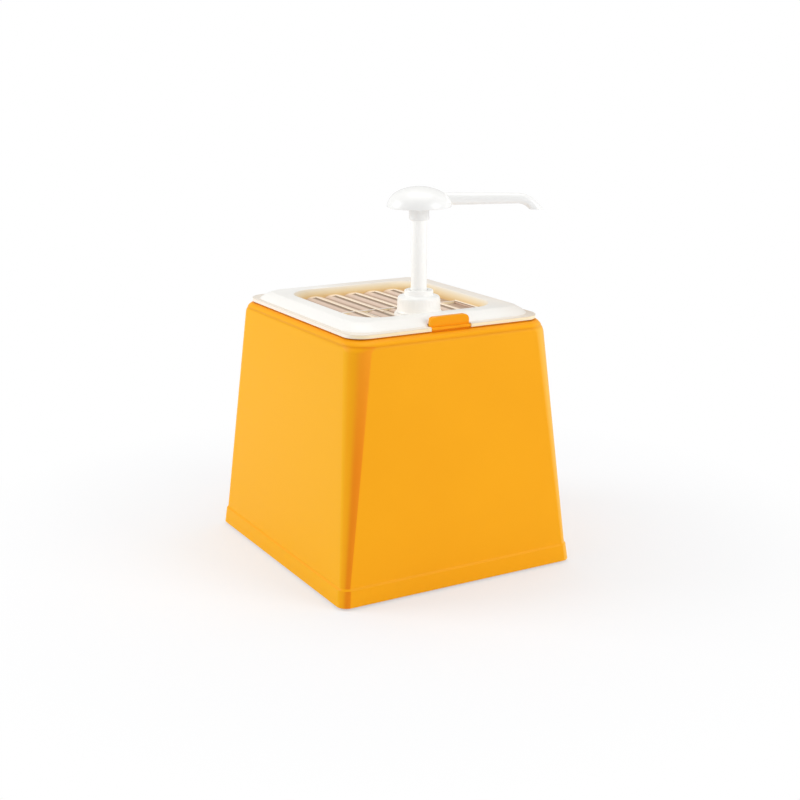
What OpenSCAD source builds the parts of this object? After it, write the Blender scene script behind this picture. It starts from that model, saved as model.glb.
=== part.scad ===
// Condiment pump dispenser. A tapered housing carries a sixth-size food pan, a lid with a ribbed
// recess closes the pan and is held by a snap tab, and a hand pump stands on the lid's front boss.
// Origin: on the floor under the middle of the housing. +Z is up and the front is -Y. Millimetres.

/* [Food pan] */
// Width of the pan's rim, left to right
pan_w = 162; // [156:0.5:166]
// Depth of the pan's rim, front to back
pan_d = 176; // [170:0.5:182]
// Height of the pan, from the top of its rim to its underside
pan_h = 150; // [140:1:160]
// Plan radius of the rim's corners
pan_r = 22; // [18:0.5:26]
// Width of the flat rim
pan_rim = 8.5; // [7:0.5:10]
// Thickness of the rim
pan_rim_t = 2.4; // [2:0.1:2.8]
// Wall of the pan
pan_wall = 2; // [1.5:0.1:2.5]
// How much each wall leans in from the stacking step to the floor
pan_draft = 6; // [4:0.5:8]
// Height of the wide band under the rim that ends in the stacking step
pan_band_h = 24; // [18:1:30]
// How far the stacking step goes in
pan_step = 1.8; // [1:0.1:2.5]
// Radius of the pan's lower edge
pan_foot_r = 9; // [6:0.5:12]
// Width of the lip turned down round the rim
pan_lip = 1.5; // [1.2:0.1:2]

/* [Housing] */
// Height of the deck above the floor
deck_z = 206; // [200:1:212]
// Deck seen beyond the pan's rim at each side
shelf_x = 5.7; // [5:0.1:7]
// Deck seen beyond the pan's rim at front and back
shelf_y = 11; // [10:0.1:13]
// How far the rounded shoulder runs out at each side
shoulder_x = 3; // [2:0.1:5]
// How far the rounded shoulder runs out at front and back
shoulder_y = 6.2; // [4:0.1:8]
// Height of the rounded shoulder, below the rebate
shoulder_h = 3.7; // [3:0.1:6]
// How far each side wall leans out from the shoulder to the skirt
spread_x = 15.3; // [10:0.1:20]
// How far the front and back walls lean out from the shoulder to the skirt
spread_y = 9.6; // [6:0.1:14]
// Plan radius of the deck's corners
deck_r = 16; // [12:0.5:20]
// Plan radius of the corners at the crease under the shoulder
top_r = 18; // [14:0.5:24]
// Plan radius of the corners at the floor
base_r = 8.5; // [6:0.5:14]
// Height of the skirt band
skirt_h = 13.7; // [10:0.1:18]
// How far the skirt stands proud of the wall
skirt_step = 1.3; // [0.8:0.1:2]
// How far the skirt flares towards its lower edge
skirt_flare = 1.4; // [0.5:0.1:2.5]
// Width of the rebate along the deck's edge, under the lid's flange
rebate_w = 2.5; // [1.5:0.1:2.8]
// Depth of the rebate
rebate_h = 1.8; // [1.4:0.1:2.2]
// Wall of the housing
wall = 3; // [2.5:0.1:3.5]
// Depth of the curb that hangs round the pan well
curb_h = 12; // [8:1:20]
// Thickness of the stiffening ribs
rib_t = 2; // [1.5:0.1:3]
// How far the stiffening ribs stand off the wall
rib_in = 7; // [5:0.5:9]
// Spacing of the stiffening ribs
rib_gap = 60; // [50:1:64]
// Wall of the boss round a foot's plug
boss_wall = 2.5; // [2:0.1:3]

/* [Snap tab] */
// Width of the snap tab
tab_w = 35; // [28:0.5:42]
// Height of the snap tab above the deck
tab_h = 9.3; // [8.8:0.1:11]
// Thickness of the snap tab
tab_t = 3; // [2.5:0.1:3.2]
// Radius of the tab's upper corners
tab_r = 4; // [2:0.5:5]
// How far the tab's lip runs back
tab_lip = 1.5; // [0.8:0.1:1.8]
// Height of the lip's upright edge
lip_h = 0.8; // [0.6:0.1:1.2]
// How far the tab's face stands behind the deck's edge
tab_set = 3.5; // [3:0.1:4]
// Height of the ledge at the tab's foot
ledge_h = 1.6; // [1.2:0.1:2]

/* [Feet] */
// Gap between the skirt and the floor
foot_gap = 1.8; // [1.2:0.1:3]
// Radius of a rubber foot
foot_r = 8; // [6:0.5:9]
// How much narrower the foot is where it stands
foot_taper = 0.4; // [0:0.1:1]
// Radius of the foot's plug
plug_r = 3; // [2.5:0.1:4]
// Length of the foot's plug
plug_len = 6; // [4:0.5:8]
// Distance of a foot's axis from the skirt's outside
foot_in = 22; // [18:0.5:26]

/* [Lid] */
// Thickness of the lid's flange
flange_t = 3; // [2.8:0.1:3.4]
// How far the flange's edge turns down into the rebate
flange_lip = 0.6; // [0.4:0.1:0.9]
// How far the flange stops short of the deck's edge
flange_in = 0.7; // [0.5:0.1:1.5]
// Height of the lid's border above the deck
border_h = 8.2; // [8:0.1:8.7]
// Width of the sloped edge of the border at each side
slope_x = 8.8; // [8:0.1:9.4]
// Width of the sloped edge of the border at front and back
slope_y = 12; // [10:0.1:12.5]
// Fullness of the sloped edge, where 1 is straight and 2 is an ellipse
border_power = 1.25; // [1:0.05:2]
// Plan radius of the border at its foot
border_r = 18; // [16:0.5:20]
// Plan radius of the border at its top
ring_r = 13; // [10:0.5:15]
// Outside of the border beyond the pan's rim at each side
border_x = 2; // [2:0.1:3]
// Outside of the border beyond the pan's rim at front and back
border_y = 5; // [4.6:0.1:5.5]
// Width of the border's flat top at each side
rim_x = 10.7; // [9.5:0.1:12]
// Width of the border's flat top at front and back
rim_y = 11; // [10:0.1:12.5]
// Plan radius of the recess at its rim
recess_r = 25; // [20:0.5:28]
// How far the recess narrows towards its floor
recess_draft = 6.5; // [5:0.5:7]
// Radius between the recess's wall and its floor
floor_fillet = 3; // [2:0.1:3.5]
// Height of the recess floor above the deck
floor_h = 0.5; // [0:0.1:1]
// Wall of the lid
lid_wall = 2.2; // [2:0.1:2.4]
// Depth of the lid's plug ring below the deck
plug_ring_h = 5; // [3:0.5:9]
// Wall of the plug ring
plug_ring_t = 1.6; // [1.2:0.1:2]
// Gap between the plug ring and the pan's wall
plug_ring_gap = 0.8; // [0.6:0.1:1]
// Width of the lid's seal
lid_seal_w = 3.2; // [2.6:0.1:3.6]
// How far the seal's inner edge lies outside the pan's wall
lid_seal_in = 1.3; // [1:0.1:1.6]
// Number of low swells on the recess floor
swells = 5; // [3:2:5]
// Spacing of the swells
swell_gap = 19; // [17:0.5:19.5]
// Width of a swell
swell_w = 18; // [14:0.5:18.5]
// Height of a swell
swell_h = 1.6; // [1:0.1:1.8]
// Width of the ridge along a swell
ridge_w = 3.4; // [2.6:0.1:4.4]
// Height of the ridge above the recess floor
ridge_h = 2.5; // [2:0.1:3]
// Distance of a ridge's end from the foot of the recess's wall
ridge_in = 4.5; // [3:0.5:8]
// Place of the cross rib, front to back
cross_rib_y = -12; // [-16:1:0]
// Height of the cross rib
cross_rib_h = 2.2; // [1.8:0.1:2.6]
// Thickness of the cross rib
cross_rib_t = 2.4; // [1.6:0.1:3]

/* [Pump neck] */
// Distance of the pump's axis behind the recess's front edge
pump_in = 22; // [21.5:0.5:26]
// Height of the boss under the collar, above the deck
boss_h = 4.6; // [4:0.1:5.5]
// Radius of the boss
boss_r = 19.5; // [18.8:0.1:21]
// How much wider the boss is at its foot
boss_draft = 1; // [0.5:0.1:1.5]
// Height of the spigot's top above the deck
spigot_h = 12; // [11:0.1:13]
// Radius of the spigot
spigot_r = 14.9; // [14.8:0.1:15.1]
// Radius of the collar at its lower edge
collar_r = 18; // [17.6:0.1:18.4]
// How much narrower the collar is at its shoulder
collar_draft = 1.1; // [0.6:0.1:1.3]
// Depth of the dished step in the collar's shoulder
collar_step = 2.2; // [1.8:0.1:2.6]
// Height of the flared rim at the collar's lower edge
collar_rim = 2; // [1.6:0.1:2.6]
// How much narrower the collar is above its flared rim
collar_flare = 0.6; // [0.4:0.1:0.9]
// Radius of the collar's neck
neck_r = 11.6; // [11.3:0.1:12]
// Height of the collar's neck above its shoulder
neck_h = 4.1; // [3.6:0.1:5]
// Number of grip ribs on the collar
grips = 36; // [24:2:48]
// Width of a grip rib
grip_w = 0.9; // [0.6:0.1:1.2]
// Thickness of the clamped flange of the stem guide
guide_flange_t = 1.2; // [1:0.1:1.5]
// Thickness of the gasket under the cylinder's flange
gasket_t = 1.2; // [0.8:0.1:1.6]

/* [Pump] */
// Stroke of the pump
stroke = 52; // [30:1:54]
// Stem seen between the neck and the head's sleeve
stem_show = 55.5; // [54.5:0.5:60]
// Radius of the stem
stem_r = 6.35; // [6:0.05:6.5]
// Wall of the stem
stem_wall = 2.6; // [2.2:0.1:2.8]
// How much narrower the stem is inside the piston
stem_step = 1.1; // [0.9:0.1:1.3]
// How far the stem's snap ring stands out under the piston
snap_step = 0.4; // [0.3:0.05:0.5]
// Height of the snap ring
snap_h = 1.4; // [1:0.1:1.8]
// Bore radius of the cylinder
bore_r = 11.2; // [10.8:0.1:11.3]
// Wall of the cylinder
cyl_wall = 1.4; // [1.2:0.1:1.4]
// Thickness of the cylinder's flange
cyl_flange_t = 1.8; // [1.4:0.1:2.2]
// Length of the stem guide inside the cylinder
guide_len = 12; // [8:0.5:16]
// Height of the piston
piston_h = 12; // [10:0.5:16]
// Section of a piston seal
seal_t = 1.8; // [1.4:0.1:2]
// Width of the piston's land outside a seal
seal_land = 2; // [1.6:0.1:2.4]
// Width of the piston's land between a seal and the waist
waist_land = 1.4; // [1.2:0.1:1.8]
// Wire diameter of the return spring
wire_d = 1.2; // [1:0.05:1.4]
// Number of turns of the return spring
spring_turns = 9.5; // [7.5:1:10.5]
// Mean radius of the return spring
spring_r = 8.8; // [8.6:0.1:9]
// Radius of the foot valve's ball
foot_ball_r = 4.6; // [4.2:0.1:4.8]
// Lift of the foot valve's ball
foot_ball_lift = 2.5; // [1.5:0.1:3]
// Radius of the discharge valve's ball
top_ball_r = 4.2; // [4.1:0.05:4.3]
// Lift of the discharge valve's ball
top_ball_lift = 1.5; // [1:0.1:1.8]
// Room round the foot valve's ball
ball_gap = 1.1; // [0.9:0.1:1.3]
// Thickness of the valve retainer
retainer_t = 2.6; // [2:0.1:3]
// Radius of one of the retainer's six holes
retainer_hole = 1.7; // [1.4:0.1:1.8]
// Radius of the retainer's stop pin
stop_r = 1.8; // [1.4:0.1:2]
// Radius of the dip tube
dip_r = 5; // [4.6:0.1:5.2]
// Length of the socket that holds the dip tube
socket_len = 12; // [8:0.5:14]
// Slant of the dip tube's lower end
dip_slant = 30; // [15:1:40]
// Wall of the dip tube
dip_wall = 1; // [0.8:0.1:1.3]
// Gap between the dip tube and the pan's floor
dip_gap = 3; // [2:0.5:6]

/* [Head] */
// Radius of the dome
dome_r = 25.4; // [23:0.1:28]
// Height of the dome
dome_h = 16; // [15.6:0.1:18]
// Wall of the dome
dome_wall = 2.2; // [1.8:0.1:2.6]
// Fullness of the dome's curve, where 2 is an ellipse
dome_power = 2.15; // [2:0.05:2.4]
// How far the webs under the dome stand back from its lower edge
web_in = 3; // [2.8:0.1:5]
// Length of the sleeve below the dome
sleeve_h = 10; // [8:0.5:12]
// Radius of the sleeve
sleeve_r = 8; // [7.9:0.1:8.6]
// How far the stem runs up inside the dome
stem_in = 3.4; // [3:0.1:4]
// Width of the seat ring at the stem's top
seat_ring = 0.8; // [0.6:0.1:1]
// Direction of the spout, from the right towards the front
spout_turn = 25; // [0:1:60]
// Height of the spout's axis above the dome's lower edge
spout_h = 6.15; // [6:0.05:6.5]
// Distance from the pump's axis to the start of the spout's bend
spout_reach = 78; // [60:1:90]
// Radius of the spout at the pump's axis
spout_r1 = 5.15; // [4.8:0.05:5.4]
// Radius of the spout at its bend
spout_r2 = 4.15; // [3.8:0.05:4.4]
// Bore radius of the spout
spout_bore = 2.5; // [2.2:0.1:2.8]
// Radius of the spout's bend
bend_r = 15.5; // [12:0.5:18]
// Angle of the spout's bend
bend_angle = 45; // [40:1:55]
// How far the spout's tip lies below the dome's lower edge
tip_drop = 2.5; // [1.5:0.1:3.5]

/* [Clearances] */
// Gap at a resting seat between two pieces that come apart
seat_gap = 0.2; // [0.1:0.05:0.3]
// Running clearance on a radius
run_gap = 0.05; // [0.03:0.01:0.08]
// Loose clearance between neighbouring shells
loose_gap = 0.5; // [0.4:0.05:0.6]

/* [Hidden] */
$fn = 96;
hull_fn = 32;       // facets of a circle inside a hull
sheet = 0.01;       // thickness of the outlines that a hull joins
over = 1;           // how far a cut runs past the face it opens
lap = 0.3;          // how far a round shape runs into the one that it joins
fuse = 0.02;        // how much wider it is there, so that no two faces meet edge to edge

// Plan sizes of the housing, from the deck down
deck_w = pan_w + 2 * shelf_x;
deck_d = pan_d + 2 * shelf_y;
crease_w = deck_w + 2 * shoulder_x;
crease_d = deck_d + 2 * shoulder_y;
wall_w = crease_w + 2 * spread_x;
wall_d = crease_d + 2 * spread_y;
base_w = wall_w + 2 * (skirt_step + skirt_flare);
base_d = wall_d + 2 * (skirt_step + skirt_flare);
rebate_z = deck_z - rebate_h;
crease_z = rebate_z - shoulder_h;
skirt_z = foot_gap + skirt_h;
well_w = pan_w - 2 * pan_rim + 2 * loose_gap;
well_d = pan_d - 2 * pan_rim + 2 * loose_gap;
well_r = pan_r - pan_rim / 2;

// The pan hangs by its rim on the deck
rim_z = deck_z + seat_gap;
pan_top = rim_z + pan_rim_t;
pan_bottom = pan_top - pan_h;
pan_floor = pan_bottom + pan_wall;
body_w = pan_w - 2 * pan_rim;
body_d = pan_d - 2 * pan_rim;

// The tab stands in a notch of the lid
tab_front = deck_d / 2 - tab_set;
tab_back = tab_front - tab_t;
lip_back = tab_back - tab_lip;
notch_back = lip_back - seat_gap;

// Lid levels
lid_z = deck_z + seat_gap;
flange_z = lid_z + flange_t;
border_z = deck_z + border_h;
floor_z = deck_z + floor_h;
flange_w = deck_w - 2 * flange_in;
flange_d = deck_d - 2 * flange_in;
border_w = pan_w + 2 * border_x;
border_d = pan_d + 2 * border_y;
ring_w = border_w - 2 * slope_x;
ring_d = border_d - 2 * slope_y;
recess_w = ring_w - 2 * rim_x;
recess_d = ring_d - 2 * rim_y;
pump_y = recess_d / 2 - pump_in;
ceiling_z = border_z - lid_wall;
hollow_w = pan_w + 2 * loose_gap;
hollow_d = pan_d + 2 * loose_gap;
hollow_r = border_r - 2 * loose_gap;
seal_w = body_w + 2 * (lid_seal_in - pan_wall + lid_seal_w);
seal_d = body_d + 2 * (lid_seal_in - pan_wall + lid_seal_w);

// Pump levels, upwards from the lid's boss
boss_z = deck_z + boss_h;
spigot_z = deck_z + spigot_h;
spigot_bore = bore_r + cyl_wall + 3 * run_gap;
cyl_flange_z = spigot_z + gasket_t;
cyl_top = cyl_flange_z + cyl_flange_t;
guide_flange_z = cyl_top + guide_flange_t;
clamp_r = spigot_r - seat_gap;
collar_bottom = boss_z + seat_gap;
shoulder_z = guide_flange_z + collar_step;
neck_z = shoulder_z + neck_h;
neck_wall = 1.5;        // wall of the collar's neck
neck_soft = 0.9;        // chamfer of the neck's top
collar_bore = spigot_r + 2 * seat_gap;
neck_bore = neck_r - neck_wall;
neck_hole = stem_r + cyl_wall;
guide_top = neck_z - neck_wall - seat_gap;
wiper_t = 2.2;          // section of the stem's wiper
wiper_r = stem_r + wiper_t;

// Pump levels, downwards from the stem guide
guide_bottom = cyl_top - guide_len;
piston_top = guide_bottom - seat_gap;
piston_bottom = piston_top - piston_h;
piston_bore = stem_r - stem_step;
snap_r = piston_bore + snap_step;
stem_bore = stem_r - stem_wall;
seal_r = bore_r - run_gap;
groove_r = seal_r - seal_t;
upper_seal_z = piston_top - seal_land - seal_t;
lower_seal_z = piston_bottom + seal_land;
waist = max(upper_seal_z - lower_seal_z - seal_t - 2 * waist_land, lap);
spring_flat = 0.6;      // turns that lie flat at each end of the spring
spring_solid = wire_d * (spring_turns + spring_flat);
spring_top = piston_bottom - seat_gap;
spring_bottom = spring_top - stroke - spring_solid;
ledge_z = spring_bottom - retainer_t;
ledge_w = 1;            // how far the retainer's ledge stands into the bore
cone_h = 5;             // height of the cone under the retainer's ledge
chamber_r = foot_ball_r + ball_gap;
chamber_h = foot_ball_r + foot_ball_lift - ledge_w;
seat_hole = foot_ball_r / sqrt(2);
seat_top = ledge_z - cone_h - chamber_h;
seat_bottom = seat_top - (chamber_r - seat_hole);
throat_h = 1.5;         // height of the throat under the foot valve's seat
socket_top = seat_bottom - throat_h;
foot_ball_z = seat_bottom - seat_hole + (foot_ball_r + seat_gap) * sqrt(2);
stop_z = foot_ball_z + foot_ball_r + foot_ball_lift + seat_gap;
dip_bottom = pan_floor + dip_gap;

// Head levels
sleeve_z = neck_z + stem_show;
dome_z = sleeve_z + sleeve_h;
stem_top = dome_z + stem_in;
top_seat = top_ball_r + seat_ring;
top_ball_z = stem_top - top_seat + (top_ball_r + seat_gap / 2) * sqrt(2);
chamber_top = top_ball_z + top_ball_r + top_ball_lift + seat_gap;
spout_z = dome_z + spout_h;
tip_z = dome_z - tip_drop;
spout_tail = 13;        // straight run after the bend, longer than what the level cut leaves

// ---- shared shapes ----

// A rectangle with round corners, centred
module plan(w, d, r) {
    square([w - 2 * r, d], center = true);
    square([w, d - 2 * r], center = true);
    for (x = [-1, 1], y = [-1, 1])
        translate([x * (w / 2 - r), y * (d / 2 - r)])
            circle(r);
}

// One thin outline of a hulled shell
module outline(z, w, d, r) {
    translate([0, 0, z])
        linear_extrude(sheet)
            plan(w, d, r, $fn = hull_fn);
}

// A straight-sided block with round corners
module block(z0, z1, w, d, r) {
    translate([0, 0, z0])
        linear_extrude(z1 - z0)
            plan(w, d, r);
}

// A straight-sided frame between two rounded outlines
module band(z0, z1, w, d, r, t) {
    translate([0, 0, z0])
        linear_extrude(z1 - z0)
            difference() {
                plan(w, d, r);
                plan(w - 2 * t, d - 2 * t, max(r - t, 1));
            }
}

// Moves a piece to the pump's axis
module at_pump() {
    translate([0, -pump_y, 0])
        children();
}

// A tube about the pump's axis
module tube(z0, z1, r_out, r_in) {
    translate([0, 0, z0])
        difference() {
            cylinder(r = r_out, h = z1 - z0);
            translate([0, 0, -over])
                cylinder(r = r_in, h = z1 - z0 + 2 * over);
        }
}

// A quarter of a superellipse, for the dome
module dome_quarter(a, b) {
    steps = 18;
    polygon(concat([[0, 0]], [
        for (i = [0:steps])
            let (t = 90 * i / steps)
            [a * pow(cos(t), 2 / dome_power), b * pow(sin(t), 2 / dome_power)]
    ]));
}

// ---- housing ----

module housing_outside() {
    hull() {
        outline(foot_gap, base_w, base_d, base_r);
        outline(skirt_z, base_w - 2 * skirt_flare, base_d - 2 * skirt_flare, base_r);
        outline(skirt_z + skirt_step, wall_w, wall_d, base_r - skirt_step);
    }
    hull() {
        outline(skirt_z, wall_w, wall_d, base_r - skirt_step);
        for (a = [0:22.5:90])
            let (out = cos(a))
            outline(
                crease_z + (shoulder_h - sheet) * sin(a),
                deck_w + 2 * shoulder_x * out, deck_d + 2 * shoulder_y * out,
                deck_r + (top_r - deck_r) * out
            );
    }
    block(rebate_z - sheet, deck_z, deck_w - 2 * rebate_w, deck_d - 2 * rebate_w, deck_r - rebate_w);
}

module housing_inside() {
    inner_r = base_r - wall;
    hull() {
        outline(foot_gap - over, base_w - 2 * wall, base_d - 2 * wall, inner_r);
        outline(
            skirt_z - wall,
            wall_w + 2 * (skirt_step - wall), wall_d + 2 * (skirt_step - wall), inner_r
        );
    }
    hull() {
        outline(skirt_z - wall - over, wall_w - 2 * wall, wall_d - 2 * wall, inner_r - over);
        outline(crease_z - over, crease_w - 2 * wall, crease_d - 2 * wall, top_r - wall);
        outline(rebate_z - wall, deck_w - 2 * wall, deck_d - 2 * wall, deck_r - wall);
        outline(
            deck_z - wall,
            deck_w - 2 * (wall + rebate_w), deck_d - 2 * (wall + rebate_w), deck_r - wall - rebate_w
        );
    }
}

// One upright rib that follows the lean of a wall
module wall_rib(foot, head) {
    translate([0, rib_t / 2, 0])
        rotate([90, 0, 0])
            linear_extrude(rib_t)
                polygon([
                    [foot - wall / 2, skirt_z],
                    [head - wall / 2, crease_z],
                    [head - wall - rib_in, crease_z],
                    [foot - wall - rib_in, skirt_z],
                ]);
}

module wall_ribs() {
    for (side = [0, 180], i = [-1:1])
        rotate(side)
            translate([0, i * rib_gap, 0])
                wall_rib(wall_w / 2, crease_w / 2);
    for (side = [90, 270], i = [-1:1])
        rotate(side)
            translate([0, i * rib_gap, 0])
                wall_rib(wall_d / 2, crease_d / 2);
}

// The boss that holds a foot's plug, webbed to both walls of its corner
module foot_boss() {
    reach = foot_in - wall;
    difference() {
        translate([0, 0, foot_gap]) {
            cylinder(r = plug_r + boss_wall, h = plug_len + boss_wall);
            translate([0, -rib_t / 2, 0])
                cube([reach, rib_t, plug_len + boss_wall]);
            translate([-rib_t / 2, 0, 0])
                cube([rib_t, reach, plug_len + boss_wall]);
        }
        translate([0, 0, foot_gap - over])
            cylinder(r = plug_r + run_gap, h = plug_len + over + seat_gap);
    }
}

// Places a child at one foot, turned so that +X and +Y point to the corner
module at_foot(x, y) {
    translate([x * (base_w / 2 - foot_in), y * (base_d / 2 - foot_in), 0])
        mirror([x < 0 ? 1 : 0, 0, 0])
            mirror([0, y < 0 ? 1 : 0, 0])
                children();
}

module snap_tab() {
    intersection() {
        translate([-tab_w / 2, 0, 0])
            rotate([90, 0, 90])
                linear_extrude(tab_w)
                    polygon([
                        [-tab_front, deck_z - over],
                        [-tab_front, deck_z + tab_h],
                        [-lip_back, deck_z + tab_h],
                        [-lip_back, deck_z + tab_h - lip_h],
                        [-tab_back, deck_z + tab_h - lip_h - tab_lip],
                        [-tab_back, deck_z - over],
                    ]);
        translate([0, -lip_back + over, 0])
            rotate([90, 0, 0])
                linear_extrude(tab_front - lip_back + 2 * over)
                    union() {
                        translate([-tab_w / 2, deck_z - 2 * over])
                            square([tab_w, tab_h + 2 * over - tab_r]);
                        translate([-tab_w / 2 + tab_r, deck_z - 2 * over])
                            square([tab_w - 2 * tab_r, tab_h + 2 * over]);
                        for (x = [-1, 1])
                            translate([x * (tab_w / 2 - tab_r), deck_z + tab_h - tab_r])
                                circle(tab_r);
                    }
    }
    translate([-tab_w / 2, -deck_d / 2 + flange_in, lid_z - flange_lip])
        cube([tab_w, tab_set - flange_in + tab_t / 2, ledge_h + flange_lip]);
}

module housing() {
    color("#FBAC1E") {
        difference() {
            housing_outside();
            housing_inside();
            block(deck_z - wall - over, deck_z + over, well_w, well_d, well_r);
        }
        band(
            deck_z - curb_h, deck_z - wall / 2,
            well_w + 2 * rib_t, well_d + 2 * rib_t, well_r + rib_t, rib_t
        );
        wall_ribs();
        for (x = [-1, 1], y = [-1, 1])
            at_foot(x, y)
                foot_boss();
        snap_tab();
    }
}

// ---- feet ----

module rubber_foot(x, y) {
    color("#2B2B2B")
        at_foot(x, y) {
            cylinder(r1 = foot_r - foot_taper, r2 = foot_r, h = foot_gap);
            translate([0, 0, foot_gap - sheet])
                cylinder(r = plug_r, h = plug_len + sheet);
        }
}

// ---- food pan ----

// The pan's solid form inside or outside: shrink is how far it lies inside the outside face
module pan_form(shrink) {
    w = body_w - 2 * shrink;
    d = body_d - 2 * shrink;
    r = well_r - 2 * loose_gap - shrink / 2;
    step_z = pan_top - pan_band_h;
    low_w = w - 2 * pan_step;
    low_d = d - 2 * pan_step;
    foot_w = low_w - 2 * pan_draft;
    foot_d = low_d - 2 * pan_draft;
    bottom = pan_bottom + shrink;
    block(step_z, pan_top + (shrink > 0 ? over : 0), w, d, r);
    hull() {
        outline(step_z, w, d, r);
        outline(step_z - pan_step, low_w, low_d, r - pan_step);
        for (a = [0:30:90])
            let (in = pan_foot_r * (1 - cos(a)))
            outline(
                bottom + pan_foot_r * (1 - sin(a)),
                foot_w - 2 * in, foot_d - 2 * in, r - pan_step - in
            );
    }
}

module food_pan() {
    color("#EFEDE6")
        difference() {
            union() {
                pan_form(0);
                block(rim_z, pan_top, pan_w, pan_d, pan_r);
            }
            pan_form(pan_wall);
            band(
                rim_z - over, rim_z + pan_rim_t / 2,
                pan_w - 2 * pan_lip, pan_d - 2 * pan_lip, pan_r - pan_lip, pan_rim - 2 * pan_lip
            );
        }
}

// ---- lid ----

// The recess's dished form up to top_z. It is grown by the lid's wall for the tub that holds it.
module recess_form(grow, top_z) {
    w = recess_w - 2 * recess_draft;
    d = recess_d - 2 * recess_draft;
    r = recess_r - recess_draft;
    fillet = floor_fillet + grow;
    hull() {
        outline(top_z, recess_w + 2 * grow, recess_d + 2 * grow, recess_r + grow);
        for (a = [0:30:90])
            let (out = fillet * cos(a))
            outline(floor_z + floor_fillet - fillet * sin(a), w + 2 * out, d + 2 * out, r + out);
    }
}

// A low round swell from end to end of the recess
module floor_swell(x, y0, y1) {
    r = (pow(swell_w / 2, 2) + pow(swell_h, 2)) / (2 * swell_h);
    translate([x, y1, floor_z + swell_h - r])
        rotate([90, 0, 0])
            cylinder(r = r, h = y1 - y0);
}

// A narrow ridge with ball ends
module floor_ridge(x, y0, y1) {
    r = ridge_w / 2;
    translate([x, 0, floor_z + ridge_h - r]) {
        translate([0, y1, 0])
            rotate([90, 0, 0])
                cylinder(r = r, h = y1 - y0);
        for (y = [y0, y1])
            translate([0, y, 0])
                sphere(r);
    }
}

// A ridge on each swell, and one more at each side in front of the cross rib
module floor_ribs() {
    wall_y = recess_d / 2;
    end_y = wall_y - recess_draft - ridge_in;
    boss_y = -pump_y + boss_r;
    half = (swells - 1) / 2;
    for (i = [-half:half])
        let (x = i * swell_gap, behind_boss = abs(x) < boss_r + lid_wall) {
            floor_swell(x, behind_boss ? -pump_y : -wall_y, wall_y);
            floor_ridge(x, behind_boss ? boss_y + ridge_in : -end_y, end_y);
        }
    for (x = [-1, 1])
        floor_ridge(x * (half + 1) * swell_gap, -end_y, cross_rib_y);
    translate([-recess_w / 2, cross_rib_y - cross_rib_t / 2, floor_z - sheet])
        cube([recess_w, cross_rib_t, cross_rib_h]);
}

module lid_shell() {
    difference() {
        union() {
            block(lid_z, flange_z, flange_w, flange_d, deck_r);
            band(
                lid_z - flange_lip, lid_z + sheet,
                flange_w, flange_d, deck_r, rebate_w - flange_in - loose_gap
            );
            hull()
                for (a = [0:18:90])
                    let (out = pow(cos(a), 2 / border_power), up = pow(sin(a), 2 / border_power))
                    outline(
                        flange_z + (border_z - flange_z) * up - sheet,
                        ring_w + 2 * slope_x * out, ring_d + 2 * slope_y * out,
                        ring_r + (border_r - ring_r) * out
                    );
        }
        hull() {
            outline(lid_z - over, hollow_w, hollow_d, hollow_r);
            outline(flange_z - loose_gap, hollow_w, hollow_d, hollow_r);
            outline(ceiling_z, ring_w + 2 * lid_wall, ring_d + 2 * lid_wall, ring_r);
        }
    }
}

module lid() {
    color("#F7F4EC") {
        difference() {
            union() {
                difference() {
                    union() {
                        lid_shell();
                        recess_form(lid_wall, border_z - sheet);
                    }
                    recess_form(0, border_z);
                    block(border_z - sheet, border_z + over, recess_w, recess_d, recess_r);
                }
                intersection() {
                    recess_form(lid_wall, border_z - sheet);
                    floor_ribs();
                }
                at_pump()
                    translate([0, 0, floor_z - lid_wall])
                        cylinder(r1 = boss_r + boss_draft, r2 = boss_r, h = boss_z - floor_z + lid_wall);
                at_pump()
                    translate([0, 0, boss_z - sheet])
                        cylinder(r = spigot_r, h = spigot_z - boss_z + sheet);
                band(
                    lid_z - plug_ring_h, ceiling_z + sheet,
                    body_w - 2 * (pan_wall + plug_ring_gap), body_d - 2 * (pan_wall + plug_ring_gap),
                    well_r - pan_wall, plug_ring_t
                );
            }
            at_pump()
                translate([0, 0, floor_z - lid_wall - over])
                    cylinder(r = spigot_bore, h = spigot_z - floor_z + lid_wall + 2 * over);
            translate([-tab_w / 2 - loose_gap, -deck_d / 2 - over, lid_z - over])
                cube([tab_w + 2 * loose_gap, deck_d / 2 + over - notch_back, border_h + 2 * over]);
        }
    }
}

module lid_seal() {
    color("#D9D6CE")
        band(
            pan_top + seat_gap, ceiling_z,
            seal_w, seal_d, well_r + pan_wall, lid_seal_w
        );
}

// ---- pump neck ----

module closure_collar() {
    top_r_out = collar_r - collar_draft;
    grip_z = collar_bottom + collar_rim + lap;
    color("#F8F7F4")
        at_pump() {
            rotate_extrude()
                polygon([
                    [collar_bore, collar_bottom],
                    [collar_r, collar_bottom],
                    [collar_r, collar_bottom + collar_rim / 2],
                    [collar_r - collar_flare, collar_bottom + collar_rim],
                    [top_r_out, guide_flange_z],
                    [top_r_out - neck_soft, shoulder_z - collar_step / 2],
                    [neck_r + collar_flare, shoulder_z - collar_flare / 2],
                    [neck_r, shoulder_z + collar_flare],
                    [neck_r, neck_z - neck_soft],
                    [neck_r - neck_soft, neck_z],
                    [neck_hole, neck_z],
                    [neck_hole, neck_z - neck_wall],
                    [neck_bore, neck_z - neck_wall],
                    [neck_bore, guide_flange_z],
                    [collar_bore, guide_flange_z],
                ]);
            for (i = [0:grips - 1])
                rotate(360 * i / grips)
                    translate([top_r_out - lap, -grip_w / 2, grip_z])
                        cube([2 * lap, grip_w, guide_flange_z - grip_w - grip_z]);
        }
}

module cylinder_gasket() {
    color("#C9C6BE")
        at_pump()
            tube(spigot_z, cyl_flange_z, clamp_r, spigot_bore);
}

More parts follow.
